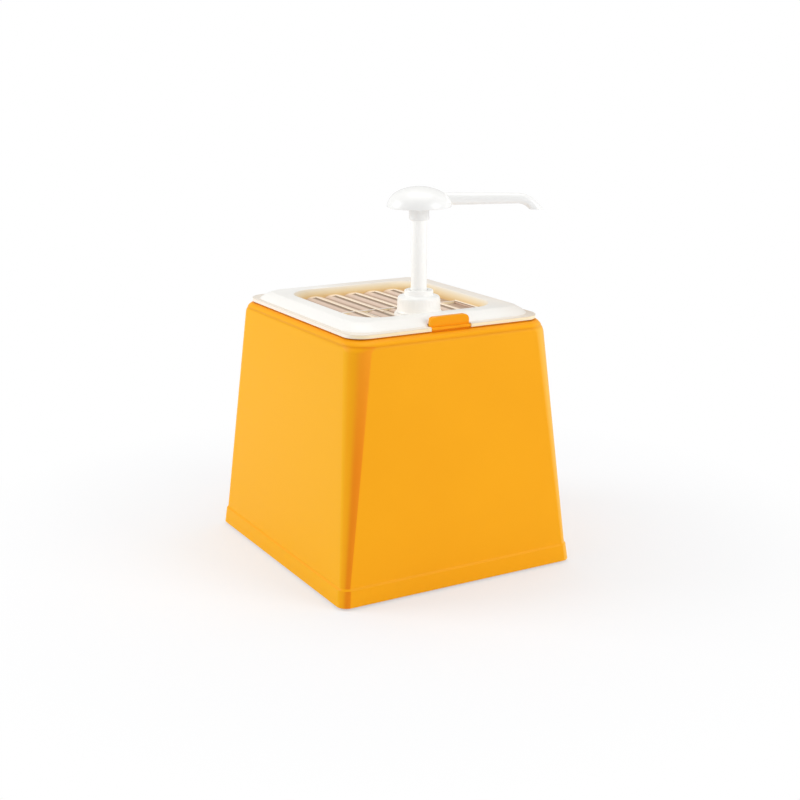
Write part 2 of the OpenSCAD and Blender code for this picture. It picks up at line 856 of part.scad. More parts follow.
module pump_cylinder() {
    out_r = bore_r + cyl_wall;
    color("#F2F1EC")
        at_pump()
            rotate_extrude()
                polygon([
                    [bore_r, cyl_top],
                    [clamp_r, cyl_top],
                    [clamp_r, cyl_flange_z],
                    [out_r, cyl_flange_z],
                    [out_r, ledge_z - ledge_w],
                    [chamber_r + cyl_wall, ledge_z - cone_h - ledge_w],
                    [chamber_r + cyl_wall, seat_bottom - ledge_w],
                    [dip_r + cyl_wall, socket_top - ledge_w],
                    [dip_r + cyl_wall, socket_top - socket_len],
                    [dip_r + run_gap, socket_top - socket_len],
                    [dip_r + run_gap, socket_top],
                    [seat_hole, socket_top],
                    [seat_hole, seat_bottom],
                    [chamber_r, seat_top],
                    [chamber_r, ledge_z - cone_h],
                    [bore_r - ledge_w, ledge_z - ledge_w / 2],
                    [bore_r - ledge_w, ledge_z],
                    [bore_r, ledge_z],
                ]);
}

module stem_guide() {
    color("#EDECE8")
        at_pump()
            difference() {
                union() {
                    translate([0, 0, guide_bottom])
                        cylinder(r = bore_r - run_gap, h = guide_len);
                    translate([0, 0, cyl_top])
                        cylinder(r = clamp_r - loose_gap, h = guide_flange_t);
                    translate([0, 0, cyl_top])
                        cylinder(r = neck_bore - seat_gap, h = guide_top - cyl_top);
                }
                translate([0, 0, guide_bottom - over])
                    cylinder(r = stem_r + run_gap, h = guide_top - guide_bottom + 2 * over);
                translate([0, 0, guide_top - wiper_t])
                    cylinder(r = wiper_r, h = wiper_t + over);
                tube(guide_bottom - over, cyl_top - wiper_t, bore_r - cyl_wall, stem_r + cyl_wall);
            }
}

module stem_wiper() {
    color("#B9B7B1")
        at_pump()
            tube(guide_top - wiper_t, guide_top, wiper_r - run_gap, stem_r + run_gap);
}

// ---- plunger ----

module piston() {
    color("#E6E4DE")
        at_pump()
            rotate_extrude()
                difference() {
                    translate([piston_bore + run_gap, piston_bottom])
                        square([bore_r - 2 * run_gap - piston_bore - run_gap, piston_h]);
                    for (z = [upper_seal_z, lower_seal_z])
                        translate([groove_r, z])
                            square([seal_t + over, seal_t]);
                    translate([groove_r - snap_step, upper_seal_z - waist_land - waist])
                        square([seal_t + 2 * over, waist]);
                }
}

module piston_seal(z) {
    color("#3A3A3A")
        at_pump()
            tube(z, z + seal_t, seal_r, groove_r);
}

module piston_stem() {
    color("#F7F6F2")
        at_pump()
            rotate_extrude()
                polygon([
                    [stem_bore, piston_bottom - seat_gap - snap_h],
                    [piston_bore - snap_step, piston_bottom - seat_gap - snap_h],
                    [snap_r, piston_bottom - seat_gap - snap_step],
                    [snap_r, piston_bottom - seat_gap],
                    [piston_bore, piston_bottom - seat_gap],
                    [piston_bore, piston_top + seat_gap],
                    [stem_r, piston_top + seat_gap],
                    [stem_r, stem_top],
                    [top_seat, stem_top],
                    [stem_bore, stem_top - (top_seat - stem_bore)],
                ]);
}

// The spring is one polyhedron swept along a helix whose end turns lie flat
module return_spring() {
    per_turn = 20;
    sides = 8;
    steps = round(per_turn * spring_turns);
    flat = spring_flat;
    low = spring_bottom + wire_d / 2;
    high = spring_top - wire_d / 2;
    function height(turn) =
        low + (high - low) * min(max((turn - flat) / (spring_turns - 2 * flat), 0), 1);
    points = [
        for (i = [0:steps], k = [0:sides - 1])
            let (
                turn = spring_turns * i / steps,
                r = spring_r + wire_d / 2 * cos(360 * k / sides),
                z = height(turn) + wire_d / 2 * sin(360 * k / sides)
            )
            [r * cos(360 * turn), r * sin(360 * turn), z]
    ];
    sides_a = [
        for (i = [0:steps - 1], k = [0:sides - 1])
            [i * sides + k, i * sides + (k + 1) % sides, (i + 1) * sides + (k + 1) % sides]
    ];
    sides_b = [
        for (i = [0:steps - 1], k = [0:sides - 1])
            [i * sides + k, (i + 1) * sides + (k + 1) % sides, (i + 1) * sides + k]
    ];
    caps = [[for (k = [sides - 1:-1:0]) k], [for (k = [0:sides - 1]) steps * sides + k]];
    color("#C8CBCF")
        at_pump()
            polyhedron(points, concat(sides_a, sides_b, caps));
}

// ---- valves ----

module valve_retainer() {
    flow_r = (spring_r - wire_d / 2 + stop_r) / 2;
    color("#E9E7E1")
        at_pump() {
            difference() {
                translate([0, 0, ledge_z])
                    cylinder(r = bore_r - run_gap, h = retainer_t);
                for (a = [0:60:300])
                    rotate(a)
                        translate([flow_r, 0, ledge_z - over])
                            cylinder(r = retainer_hole, h = retainer_t + 2 * over, $fn = hull_fn);
            }
            translate([0, 0, stop_z])
                cylinder(r = stop_r, h = ledge_z - stop_z + sheet);
        }
}

module foot_valve_ball() {
    color("#D3D6D8")
        at_pump()
            translate([0, 0, foot_ball_z])
                sphere(foot_ball_r);
}

module discharge_ball() {
    color("#D3D6D8")
        at_pump()
            translate([0, 0, top_ball_z])
                sphere(top_ball_r);
}

// The dip tube's lower end is cut on the slant so that the floor cannot close it
module dip_tube() {
    color("#F4F4F0")
        at_pump()
            difference() {
                tube(dip_bottom, socket_top - seat_gap, dip_r, dip_r - dip_wall);
                translate([0, 0, dip_bottom])
                    rotate([0, dip_slant, 0])
                        translate([-2 * dip_r, -2 * dip_r, -4 * dip_r])
                            cube([4 * dip_r, 4 * dip_r, 4 * dip_r]);
            }
}

// ---- head ----

module spout_outside() {
    translate([0, 0, spout_z])
        rotate([0, 90, 0])
            cylinder(r1 = spout_r1, r2 = spout_r2 + fuse, h = spout_reach + lap);
    spout_bend(spout_r2, spout_tail);
}

// The bend and the straight end behind it, as a solid rod of radius r
module spout_bend(r, tail) {
    translate([spout_reach, 0, spout_z - bend_r])
        rotate([90, 0, 0])
            rotate(90 - bend_angle) {
                rotate_extrude(angle = bend_angle)
                    translate([bend_r, 0])
                        circle(r);
                translate([bend_r, 0, 0])
                    rotate([90, 0, 0])
                        cylinder(r = r, h = tail);
            }
}

module head_webs() {
    for (i = [0:5])
        rotate(60 * i + 30)
            rotate([90, 0, 0])
                translate([0, dome_z, -rib_t / 3])
                    linear_extrude(rib_t * 2 / 3)
                        intersection() {
                            dome_quarter(dome_r - dome_wall / 2, dome_h - dome_wall / 2);
                            translate([sleeve_r - over, web_in])
                                square([dome_r, dome_h]);
                        }
}

module pump_head() {
    socket_r = stem_r + fuse;
    color("#FAF9F6")
        at_pump()
            rotate(-spout_turn)
                difference() {
                    union() {
                        translate([0, 0, dome_z])
                            rotate_extrude()
                                difference() {
                                    dome_quarter(dome_r, dome_h);
                                    dome_quarter(dome_r - dome_wall, dome_h - dome_wall);
                                }
                        translate([0, 0, sleeve_z])
                            cylinder(r = sleeve_r, h = dome_z + dome_h - dome_wall / 2 - sleeve_z);
                        head_webs();
                        difference() {
                            spout_outside();
                            translate([0, -dome_r, tip_z - 4 * dome_h])
                                cube([2 * spout_reach, 2 * dome_r, 4 * dome_h]);
                        }
                    }
                    translate([0, 0, sleeve_z - over])
                        cylinder(r = socket_r, h = stem_top - sleeve_z + over);
                    translate([0, 0, stem_top - sheet])
                        cylinder(r = top_seat, h = chamber_top - stem_top);
                    translate([0, 0, spout_z])
                        rotate([0, 90, 0])
                            cylinder(r = spout_bore + fuse, h = spout_reach + lap);
                    spout_bend(spout_bore, spout_tail + 2 * over);
                }
}

housing();
rubber_foot(-1, -1);  // foot_front_left
rubber_foot(1, -1);  // foot_front_right
rubber_foot(-1, 1);  // foot_rear_left
rubber_foot(1, 1);  // foot_rear_right
food_pan();
lid();
lid_seal();
closure_collar();
cylinder_gasket();
pump_cylinder();
stem_guide();
stem_wiper();
piston();
piston_seal(upper_seal_z);  // upper_piston_seal
piston_seal(lower_seal_z);  // lower_piston_seal
piston_stem();
return_spring();
valve_retainer();
foot_valve_ball();
discharge_ball();
dip_tube();
pump_head();
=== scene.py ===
import math

import bmesh
import bpy
from mathutils import Matrix, Vector
from mathutils.bvhtree import BVHTree


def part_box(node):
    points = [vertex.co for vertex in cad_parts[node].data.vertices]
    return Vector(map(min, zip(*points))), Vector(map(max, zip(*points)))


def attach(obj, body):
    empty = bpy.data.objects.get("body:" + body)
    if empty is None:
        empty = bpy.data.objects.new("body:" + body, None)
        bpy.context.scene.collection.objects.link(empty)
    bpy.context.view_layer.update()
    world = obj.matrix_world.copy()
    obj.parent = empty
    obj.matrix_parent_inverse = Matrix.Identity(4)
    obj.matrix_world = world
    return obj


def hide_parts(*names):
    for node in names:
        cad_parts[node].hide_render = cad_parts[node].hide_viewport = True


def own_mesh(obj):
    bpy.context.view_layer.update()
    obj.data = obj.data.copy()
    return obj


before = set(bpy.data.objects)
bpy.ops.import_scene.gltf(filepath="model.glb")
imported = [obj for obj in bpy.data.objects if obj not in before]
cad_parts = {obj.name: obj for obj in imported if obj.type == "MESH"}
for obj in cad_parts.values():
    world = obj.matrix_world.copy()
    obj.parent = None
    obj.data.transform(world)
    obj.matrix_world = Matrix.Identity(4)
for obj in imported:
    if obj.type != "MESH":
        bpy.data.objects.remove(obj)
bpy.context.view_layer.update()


# ---- The photograph's view ----
# The camera stands in front of the dispenser's left corner and a little above its lid. Its place, aim
# and lens are fitted to the edges that the photograph shows, with no shift. Sizes are in mm.
mm = 0.001
sensor_width = 36.0
lens = 60.83
shift_x = 0.0
shift_y = 0.0
camera_place = Vector((-539.48, -965.44, 417.87)) * mm
camera_aim = Vector((1.07, -15.83, 129.79)) * mm

camera_data = bpy.data.cameras.new("photograph_camera")
camera_data.sensor_fit = "AUTO"
camera_data.sensor_width = sensor_width
camera_data.lens = lens
camera_data.shift_x = shift_x
camera_data.shift_y = shift_y
camera = bpy.data.objects.new("photograph_camera", camera_data)
camera.location = camera_place
camera.rotation_euler = (camera_aim - camera_place).to_track_quat("-Z", "Y").to_euler()
bpy.context.scene.collection.objects.link(camera)
bpy.context.scene.camera = camera
bpy.context.scene.view_settings.view_transform = "Standard"
bpy.context.view_layer.update()


# ---- Housing ----
# The tapered cover that the food pan hangs in, with a skirt band, a rounded shoulder and a snap tab.
# It is injection moulded in one piece from orange ABS. Ribs inside stiffen its walls, and a boss in
# each lower corner takes a foot.
def linear(hex_colour):
    """The linear colour of an sRGB hex value, as a socket takes it."""
    channels = [int(hex_colour[i:i + 2], 16) / 255 for i in (1, 3, 5)]
    return [c / 12.92 if c <= 0.04045 else ((c + 0.055) / 1.055) ** 2.4 for c in channels] + [1.0]


def add(tree, kind, settings=None, links=None):
    """Adds one node. Settings name its properties or inputs, where a hex value is a colour, and links
    say which output feeds an input."""
    node = tree.nodes.new(kind)
    for name, value in (settings or {}).items():
        if isinstance(name, int) or name in node.inputs:
            node.inputs[name].default_value = linear(value) if isinstance(value, str) else value
        else:
            setattr(node, name, value)
    for name, output in (links or {}).items():
        tree.links.new(output, node.inputs[name])
    return node


def new_material(name):
    """An empty node material, its tree, and the Object coordinates that its patterns read."""
    material = bpy.data.materials.new(name)
    material.use_nodes = True
    tree = material.node_tree
    tree.nodes.clear()
    return material, tree, add(tree, "ShaderNodeTexCoord").outputs["Object"]


def by_height(tree, place, low, high, stops, over=None):
    """A colour that changes between two heights in mm. Each stop is its share of the way up and its hex
    colour. Where a colour is given to lay it over, it darkens that one."""
    height = add(tree, "ShaderNodeSeparateXYZ", links={"Vector": place}).outputs["Z"]
    way_up = add(tree, "ShaderNodeMapRange", {"From Min": low * mm, "From Max": high * mm},
                 {"Value": height})
    bands = add(tree, "ShaderNodeValToRGB", links={"Fac": way_up.outputs["Result"]})
    while len(bands.color_ramp.elements) < len(stops):
        bands.color_ramp.elements.new(0.5)
    for element, (share, colour) in zip(bands.color_ramp.elements, stops):
        element.position = share
        element.color = linear(colour)
    if over is None:
        return bands.outputs["Color"]
    return add(tree, "ShaderNodeMix", {"data_type": "RGBA", "blend_type": "MULTIPLY", 0: 1.0},
               {6: over, 7: bands.outputs["Color"]}).outputs[2]


def drifting_colour(tree, place, size, first, second):
    """A colour that drifts slowly between two, over patches of a size in mm."""
    drift = add(tree, "ShaderNodeTexNoise", {"Scale": 1 / (size * mm), "Detail": 2.0}, {"Vector": place})
    return add(tree, "ShaderNodeMix", {"data_type": "RGBA", 6: first, 7: second},
               {0: drift.outputs["Fac"]}).outputs[2]


def finish_material(material, tree, place, colour, grain_width, grain_depth, settings):
    """The fine grain of the mould or the tool, in mm, and the shader, for a colour that is made."""
    grain = add(tree, "ShaderNodeTexNoise", {"Scale": 1 / (grain_width * mm), "Detail": 1.0},
                {"Vector": place})
    bump = add(tree, "ShaderNodeBump", {"Strength": 1.0, "Distance": grain_depth * mm},
               {"Height": grain.outputs["Fac"]})
    shader = add(tree, "ShaderNodeBsdfPrincipled", settings,
                 {"Base Color": colour, "Normal": bump.outputs["Normal"]})
    add(tree, "ShaderNodeOutputMaterial", links={"Surface": shader.outputs["BSDF"]})
    return material


# Satin injection-moulded ABS: an even orange with a broad, dull sheen. A painted shade, a deeper orange
# streak, runs down the corner between the left face and the front, nearer to the front.
soft = {"interpolation_type": "SMOOTHSTEP"}
material, tree, place = new_material("satin_moulded_abs")
colour = drifting_colour(tree, place, 90, "#F9A80E", "#FFB012")
normal = add(tree, "ShaderNodeTexCoord").outputs["Normal"]
forward = add(tree, "ShaderNodeVectorMath", {"operation": "MULTIPLY", 1: (-1.0, -1.0, 1.0)}, {0: normal})
facing = add(tree, "ShaderNodeSeparateXYZ", links={"Vector": forward.outputs["Vector"]})
leftward, frontward = facing.outputs["X"], facing.outputs["Y"]
to_left = add(tree, "ShaderNodeMath", {"operation": "POWER", "use_clamp": True, 1: 0.5}, {0: leftward})
to_front = add(tree, "ShaderNodeMath", {"operation": "POWER", "use_clamp": True, 1: 4.5}, {0: frontward})
both = add(tree, "ShaderNodeMath", {"operation": "MULTIPLY"},
           {0: to_left.outputs[0], 1: to_front.outputs[0]})
painted_corner_shade = add(tree, "ShaderNodeMapRange", {**soft, "From Min": 0.08, "From Max": 0.4},
             {"Value": both.outputs[0]})
painted_corner_shade_colour = by_height(tree, place, 20, 200, [(0.0, "#F18C0C"), (0.5, "#F68D12"), (1.0, "#FFA01E")])
colour = add(tree, "ShaderNodeMix", {"data_type": "RGBA"},
             {0: painted_corner_shade.outputs["Result"], 6: colour, 7: painted_corner_shade_colour}).outputs[2]

# Painted light makes the left face a paler yellow orange, and the front right and back left corners
# palest
painted_left_light = add(tree, "ShaderNodeMapRange", {**soft, "From Min": 0.85, "From Max": 0.98},
                {"Value": leftward})
colour = add(tree, "ShaderNodeMix", {"data_type": "RGBA", 7: "#F8B210"},
             {0: painted_left_light.outputs["Result"], 6: colour}).outputs[2]
product = add(tree, "ShaderNodeMath", {"operation": "MULTIPLY"}, {0: leftward, 1: frontward})
painted_corner_light = add(tree, "ShaderNodeMapRange", {**soft, "From Min": -0.05, "From Max": -0.45},
                   {"Value": product.outputs[0]})
colour = add(tree, "ShaderNodeMix", {"data_type": "RGBA", 7: "#FFC04A"},
             {0: painted_corner_light.outputs["Result"], 6: colour}).outputs[2]

# Painted shade makes the crease under the shoulder and the narrow gap under the lid's flange a little
# darker
painted_crease_shade = [(0.0, "#FFFFFF"), (0.15, "#FFFFFF"), (0.5, "#F3E6B8"), (0.85, "#FFFFFF")]
colour = by_height(tree, place, 197.3, 202.3, painted_crease_shade, colour)
painted_gap_shade = [(0.0, "#FFFFFF"), (0.25, "#FFFFFF"), (0.4, "#FBECD2"), (0.57, "#FFFAF0"), (0.6, "#FFF6E6")]
colour = by_height(tree, place, 200, 210, painted_gap_shade, colour)
satin_abs = finish_material(material, tree, place, colour, 0.45, 0.01,
                            {"IOR": 1.5, "Roughness": 0.42, "Specular IOR Level": 0.12})


# The four corners of an outline, as the sides of X and Y that they lie on, and the distance within which
# vertices are taken for one
corner_sides = ((-1, -1), (1, -1), (1, 1), (-1, 1))
hair = 0.001 * mm


def corner_centre(x, y, height, width, depth, radius):
    """The middle of a rounded outline's corner arc. Sizes are in mm, and x and y say which corner."""
    return Vector((x * (width / 2 - radius), y * (depth / 2 - radius), height)) * mm


def rounded_ring(shape, ring, corner=12):
    """A closed loop of edges round a rectangle with round corners."""
    half_step = math.pi / (4 * corner)
    made = bmesh.ops.create_circle(shape, segments=4 * corner, radius=ring[3] * mm / math.cos(half_step),
                                   matrix=Matrix.Rotation(half_step, 4, "Z"))["verts"]
    for x, y in corner_sides:
        quarter = [v for v in made if v.co.x * x > 0 and v.co.y * y > 0]
        bmesh.ops.translate(shape, verts=quarter, vec=corner_centre(x, y, *ring))
    return list({edge for v in made for edge in v.link_edges})


def only(kind, geometry):
    """The vertices or the edges in what an operator gives back."""
    return [part for part in geometry if isinstance(part, kind)]


def moulded_shell(shape, rings, closed=True):
    """Extrudes one rounded ring from the last, and a closed shell back to its first one. Each ring is a
    height, a width, a depth and the radius of its corners, in mm."""
    edges = first = rounded_ring(shape, rings[0])
    for old, new in zip(rings, rings[1:] + rings[:1] * closed):
        made = bmesh.ops.extrude_edge_only(shape, edges=edges)["geom"]
        verts = set(only(bmesh.types.BMVert, made))
        edges = [e for e in only(bmesh.types.BMEdge, made) if set(e.verts) <= verts]
        for x, y in corner_sides:
            quarter = [v for v in verts if v.co.x * x > 0 and v.co.y * y > 0]
            start, end = corner_centre(x, y, *old), corner_centre(x, y, *new)
            growth = new[3] / old[3]
            bmesh.ops.scale(shape, verts=quarter, vec=(growth, growth, 1),
                            space=Matrix.Translation(-start))
            bmesh.ops.translate(shape, verts=quarter, vec=end - start)
    if closed:
        bmesh.ops.remove_doubles(shape, verts=shape.verts, dist=hair)
    return first, edges


def turned(shape, profile, place, steps=96):
    """A full turn of a profile about Z, then placed. The profile is a list of radii and heights in mm,
    which ends on the axis where it starts on it, and otherwise closes on itself."""
    before = set(shape.verts)
    verts = [shape.verts.new(Vector((r, 0, z)) * mm) for r, z in profile]
    following = verts[1:] if profile[0][0] == 0 else verts[1:] + verts[:1]
    edges = [shape.edges.new(pair) for pair in zip(verts, following)]
    bmesh.ops.spin(shape, geom=verts + edges, cent=(0, 0, 0), axis=(0, 0, 1), angle=2 * math.pi,
                   steps=steps, use_merge=True)
    bmesh.ops.remove_doubles(shape, verts=[v for v in shape.verts if v not in before], dist=hair / 2)
    bmesh.ops.transform(shape, verts=[v for v in shape.verts if v not in before], matrix=place)


def extruded(shape, corners, thickness, place):
    """A flat outline through corners in X and Z, extruded along Y, both in mm, and then placed."""
    outline = [shape.verts.new(Vector((x, -thickness / 2, z)) * mm) for x, z in corners]
    face = shape.faces.new(outline)
    far_side = only(bmesh.types.BMVert, bmesh.ops.extrude_face_region(shape, geom=[face])["geom"])
    bmesh.ops.translate(shape, verts=far_side, vec=Vector((0, thickness * mm, 0)))
    bmesh.ops.transform(shape, verts=outline + far_side, matrix=place)
    return outline + far_side


def box(shape, low, high):
    """A box between two corners in mm."""
    low, high = Vector(low) * mm, Vector(high) * mm
    place = Matrix.Translation((low + high) / 2) @ Matrix.Diagonal((*(high - low), 1))
    return bmesh.ops.create_cube(shape, size=1.0, matrix=place)["verts"]


def round_edges(shape, edges, radius):
    """Rounds edges by a radius in mm."""
    bmesh.ops.bevel(shape, geom=edges, offset=radius * mm, offset_type="OFFSET", segments=3, profile=0.5,
                    affect="EDGES", clamp_overlap=True, material=-1)


def made_object(shape, name):
    """Makes a shape an object of the scene."""
    mesh = bpy.data.meshes.new(name)
    shape.to_mesh(mesh)
    shape.free()
    made = bpy.data.objects.new(name, mesh)
    bpy.context.scene.collection.objects.link(made)
    return made


def new_piece(shape, name, body, slot, material, *nodes):
    """Makes a shape a piece that rides on a body and stands for its CAD nodes."""
    bmesh.ops.recalc_face_normals(shape, faces=shape.faces)
    piece = made_object(shape, name)
    piece.data.materials.append(material)
    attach(piece, body)
    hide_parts(*nodes)
    return piece


sharp_angle = math.radians(35)


def smooth_curves(piece):
    """Shades a piece's curves smooth between its sharp edges, and keeps its flat faces flat."""
    piece.data.polygons.foreach_set("use_smooth", [True] * len(piece.data.polygons))
    piece.data.set_sharp_from_angle(angle=sharp_angle)
    piece.modifiers.new("flat_faces", "WEIGHTED_NORMAL").keep_sharp = True


# Plan sizes of the moulding: the deck under the lid, the crease under its shoulder, the foot of its
# walls, the skirt's lower edge and the well in the deck. A rebate round the deck takes the lid's flange.
deck = (173.4, 198.0)
crease = (179.4, 210.4)
wall_foot = (210.0, 229.6)
skirt_edge = (215.4, 235.0)
well = (146.0, 160.0)
deck_z, rebate_z, crease_z, skirt_z, foot_gap = 206.0, 204.2, 199.8, 15.5, 1.8
wall, rebate, well_depth, curb = 3.0, 2.5, 12.0, 2.0


def grown(size, by):
    """A plan size that is larger by the same on every side."""
    return size[0] + 2 * by, size[1] + 2 * by


shape = bmesh.new()
rings = [
    (foot_gap, *grown(skirt_edge, -0.5), 8.0),
    (foot_gap + 0.15, *grown(skirt_edge, -0.15), 8.35),
    (foot_gap + 0.5, *skirt_edge, 8.5),
    (skirt_z - 0.5, *grown(skirt_edge, -1.35), 8.5),
    (skirt_z - 0.1, *grown(skirt_edge, -1.5), 8.4),
    (skirt_z + 0.9, *grown(wall_foot, 0.3), 7.5),
    (skirt_z + 1.5, *wall_foot, 7.2),
    (crease_z - 4.4, *grown(crease, 0.33), 17.8),
    (crease_z - 3.0, *grown(crease, 0.23), 18.6),
    (crease_z - 1.6, *grown(crease, 0.13), 19.8),
    (crease_z - 1.0, *grown(crease, -0.05), 20.3),
    (crease_z - 0.4, *grown(crease, -0.22), 20.8),
    (crease_z + 0.1, *grown(crease, -0.3), 21.1),
    (crease_z + 0.6, *grown(crease, -0.2), 21.5),
]

# The shoulder is a little flatter than a quarter of a circle, between a bevel and a round
shoulder_power, shoulder_radius, radius_gain = 1.33, 21.8, 0.4
for angle in range(15, 91, 15):
    out, up = [max(f(math.radians(angle)), 0) ** shoulder_power for f in (math.cos, math.sin)]
    rings.append((crease_z + (rebate_z - crease_z) * up, deck[0] + (crease[0] - deck[0]) * out,
                  deck[1] + (crease[1] - deck[1]) * out, shoulder_radius + radius_gain * up))
rings += [
    (rebate_z, *grown(deck, -rebate), 19.5),
    (deck_z - 0.3, *grown(deck, -rebate), 19.5),
    (deck_z, *grown(deck, -rebate - 0.3), 19.2),
    (deck_z, *grown(well, 0.4), 18.15),
    (deck_z - 0.4, *well, 17.75),
    (deck_z - well_depth, *well, 17.75),
    (deck_z - well_depth, *grown(well, curb), 19.75),
    (deck_z - wall, *grown(well, curb), 19.75),
    (deck_z - wall, *grown(deck, -rebate - wall), 16.5),
    (rebate_z - wall, *grown(deck, -wall), 17),
    (crease_z - 1, *grown(crease, -wall), 15),
    (skirt_z - wall, *grown(wall_foot, -wall), 4.5),
    (foot_gap, *grown(skirt_edge, -wall), 5.5),
]
moulded_shell(shape, rings)

# The stiffening ribs lean with the walls, three to a wall
rib_gap, rib_thick, rib_in, rib_lap = 60, 2, 10, 1.5
for side in range(4):
    foot_x, head_x = wall_foot[side % 2] / 2, crease[side % 2] / 2
    rib_line = [(foot_x - rib_lap, skirt_z), (head_x - rib_lap, crease_z), (head_x - rib_in, crease_z),
                (foot_x - rib_in, skirt_z)]
    for step in (-1, 0, 1):
        extruded(shape, rib_line, rib_thick, Matrix.Rotation(math.radians(90 * side), 4, "Z") @
                 Matrix.Translation((0, step * rib_gap * mm, 0)))

# Each foot's boss is a short tube, webbed to both walls of its corner
foot_in, tube_radius, plug_radius, tube_height = 22, 5.5, 3.05, 8.5
tube_top = foot_gap + tube_height
web_start, web_end = 4, foot_in - wall
foot_web = [(web_start, foot_gap), (web_end, foot_gap), (web_end, tube_top), (web_start, tube_top)]
for x, y in corner_sides:
    at_foot = Matrix.Translation(Vector((x * (skirt_edge[0] / 2 - foot_in),
                                         y * (skirt_edge[1] / 2 - foot_in), 0)) * mm)
    turned(shape, [(tube_radius, foot_gap), (tube_radius, tube_top), (plug_radius, tube_top),
                   (plug_radius, foot_gap)], at_foot, 32)
    for angle in (90 - 90 * x, 90 * y):
        extruded(shape, foot_web, rib_thick, at_foot @ Matrix.Rotation(math.radians(angle), 4, "Z"))

# The snap tab stands in front of the lid, and its lip hooks back over the lid's front edge. A low ledge
# fills the rebate in front of it.
tab_width, tab_height, tab_thick, tab_radius = 35.0, 9.3, 3.0, 4.0
tab_lip, lip_height, lip_lap = 1.5, 0.8, 0.2
tab_front, tab_root = 95.5, deck_z - 1
tab_top = deck_z + tab_height
lip_foot = tab_top - lip_height - tab_lip


def tab_outline(first):
    """The tab's upper outline in mm, from an angle on its round right corner over to the left one."""
    angles = [math.radians(first + (90 - first) * step / 8) for step in range(9)]
    right = [(tab_width / 2 - tab_radius * (1 - math.cos(a)), tab_top - tab_radius * (1 - math.sin(a)))
             for a in angles]
    return right + [(-x, z) for x, z in reversed(right)]


extruded(shape, [(-tab_width / 2, tab_root), (tab_width / 2, tab_root)] + tab_outline(0), tab_thick,
         Matrix.Translation((0, (tab_thick / 2 - tab_front) * mm, 0)))
lip_start = math.degrees(math.asin(1 - (tab_top - lip_foot) / tab_radius))
lip = extruded(shape, tab_outline(lip_start), tab_lip + lip_lap,
               Matrix.Translation((0, (tab_thick + (tab_lip - lip_lap) / 2 - tab_front) * mm, 0)))
lip_edges, lip_faces = {e for v in lip for e in v.link_edges}, {f for v in lip for f in v.link_faces}
bmesh.ops.bisect_plane(shape, geom=lip + list(lip_edges) + list(lip_faces), plane_no=(0, 1, -1),
                       plane_co=Vector((0, tab_thick - tab_front, lip_foot)) * mm, clear_outer=True)
bmesh.ops.edgeloop_fill(shape, edges=[e for e in shape.edges if e.is_boundary])

# The edges round the tab's front and round its lip's back are soft, and so are the ledge's
rim_planes = (-tab_front * mm, (tab_thick + tab_lip - tab_front) * mm)
rim_side, rim_low, rim_fold = (tab_width / 2 + 1) * mm, (deck_z + 0.1) * mm, math.radians(30)


def on_rim(edge):
    """True for an edge of the tab that lies in the plane of its front or of its lip's back."""
    return all(abs(v.co.x) < rim_side and any(abs(v.co.y - plane) < hair for plane in rim_planes)
               for v in edge.verts)


shape.normal_update()
round_edges(shape, [e for e in shape.edges if on_rim(e) and e.calc_face_angle(0) > rim_fold and
                    max(v.co.z for v in e.verts) > rim_low], 0.45)
ledge_front, ledge_back, ledge_low, ledge_high = -98.3, -94.0, deck_z - 0.4, deck_z + 1.8
ledge = box(shape, (-tab_width / 2, ledge_front, ledge_low), (tab_width / 2, ledge_back, ledge_high))
round_edges(shape, list({e for v in ledge for e in v.link_edges}), 0.3)
housing = new_piece(shape, "tapered_housing", "base", "housing", satin_abs, "housing")
smooth_curves(housing)


# ---- Feet ----
# Four feet of moulded thermoplastic rubber. A plug on top of each is pressed into its boss, and the
# dispenser stands on them with its skirt just clear of the table.
def plain_finish(name, colour, deep, grain_width, grain_depth, settings, patch=60):
    """A finish of one colour that drifts over patches in mm, with the grain of its mould or its tool."""
    material, tree, place = new_material(name)
    tone = drifting_colour(tree, place, patch, deep, colour)
    return finish_material(material, tree, place, tone, grain_width, grain_depth, settings)


def dress(node, material):
    """Gives a CAD node its material, and shades its curves smooth between its sharp edges."""
    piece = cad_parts[node]
    piece.data.materials.clear()
    piece.data.materials.append(material)
    piece.data.polygons.foreach_set("use_smooth", [True] * len(piece.data.polygons))
    piece.modifiers.new("merged", "WELD").merge_threshold = hair
    split = piece.modifiers.new("edges", "EDGE_SPLIT")
    split.split_angle = sharp_angle
    split.use_edge_sharp = False
    piece.modifiers.new("shading", "WEIGHTED_NORMAL").keep_sharp = True


# Moulded black rubber with no sheen, nearly lost in the shade under the skirt
rubber = plain_finish("moulded_rubber", "#2E2E2E", "#262626", 0.8, 0.03,
                      {"IOR": 1.52, "Roughness": 0.7, "Specular IOR Level": 0.4}, 20)
for corner in ("front_left", "front_right", "rear_left", "rear_right"):
    dress("foot_" + corner, rubber)


# ---- Food pan ----
# The sixth-size food pan that holds the condiment, moulded from natural polypropylene. It hangs in the
# housing's well by its rim, and lifts out.

# Moulded natural polypropylene, a waxy and slightly yellow white
natural = plain_finish("natural_polypropylene", "#F4F1E8", "#EEEADF", 0.6, 0.008,
                       {"IOR": 1.49, "Roughness": 0.38, "Specular IOR Level": 0.4})
dress("food_pan", natural)


# ---- Lid ----
# The milky polypropylene lid: a flange that turns down into the rebate, a border whose edge slopes up
# from it, and a recess with low swells and ridges on its floor. A boss with a spigot on it carries the
# pump. Painted shade and a painted orange glow stand for the dark pan below and the orange deck round it
# showing faintly through the thin moulding.
milky = {"IOR": 1.49, "Roughness": 0.36, "Specular IOR Level": 0.4}
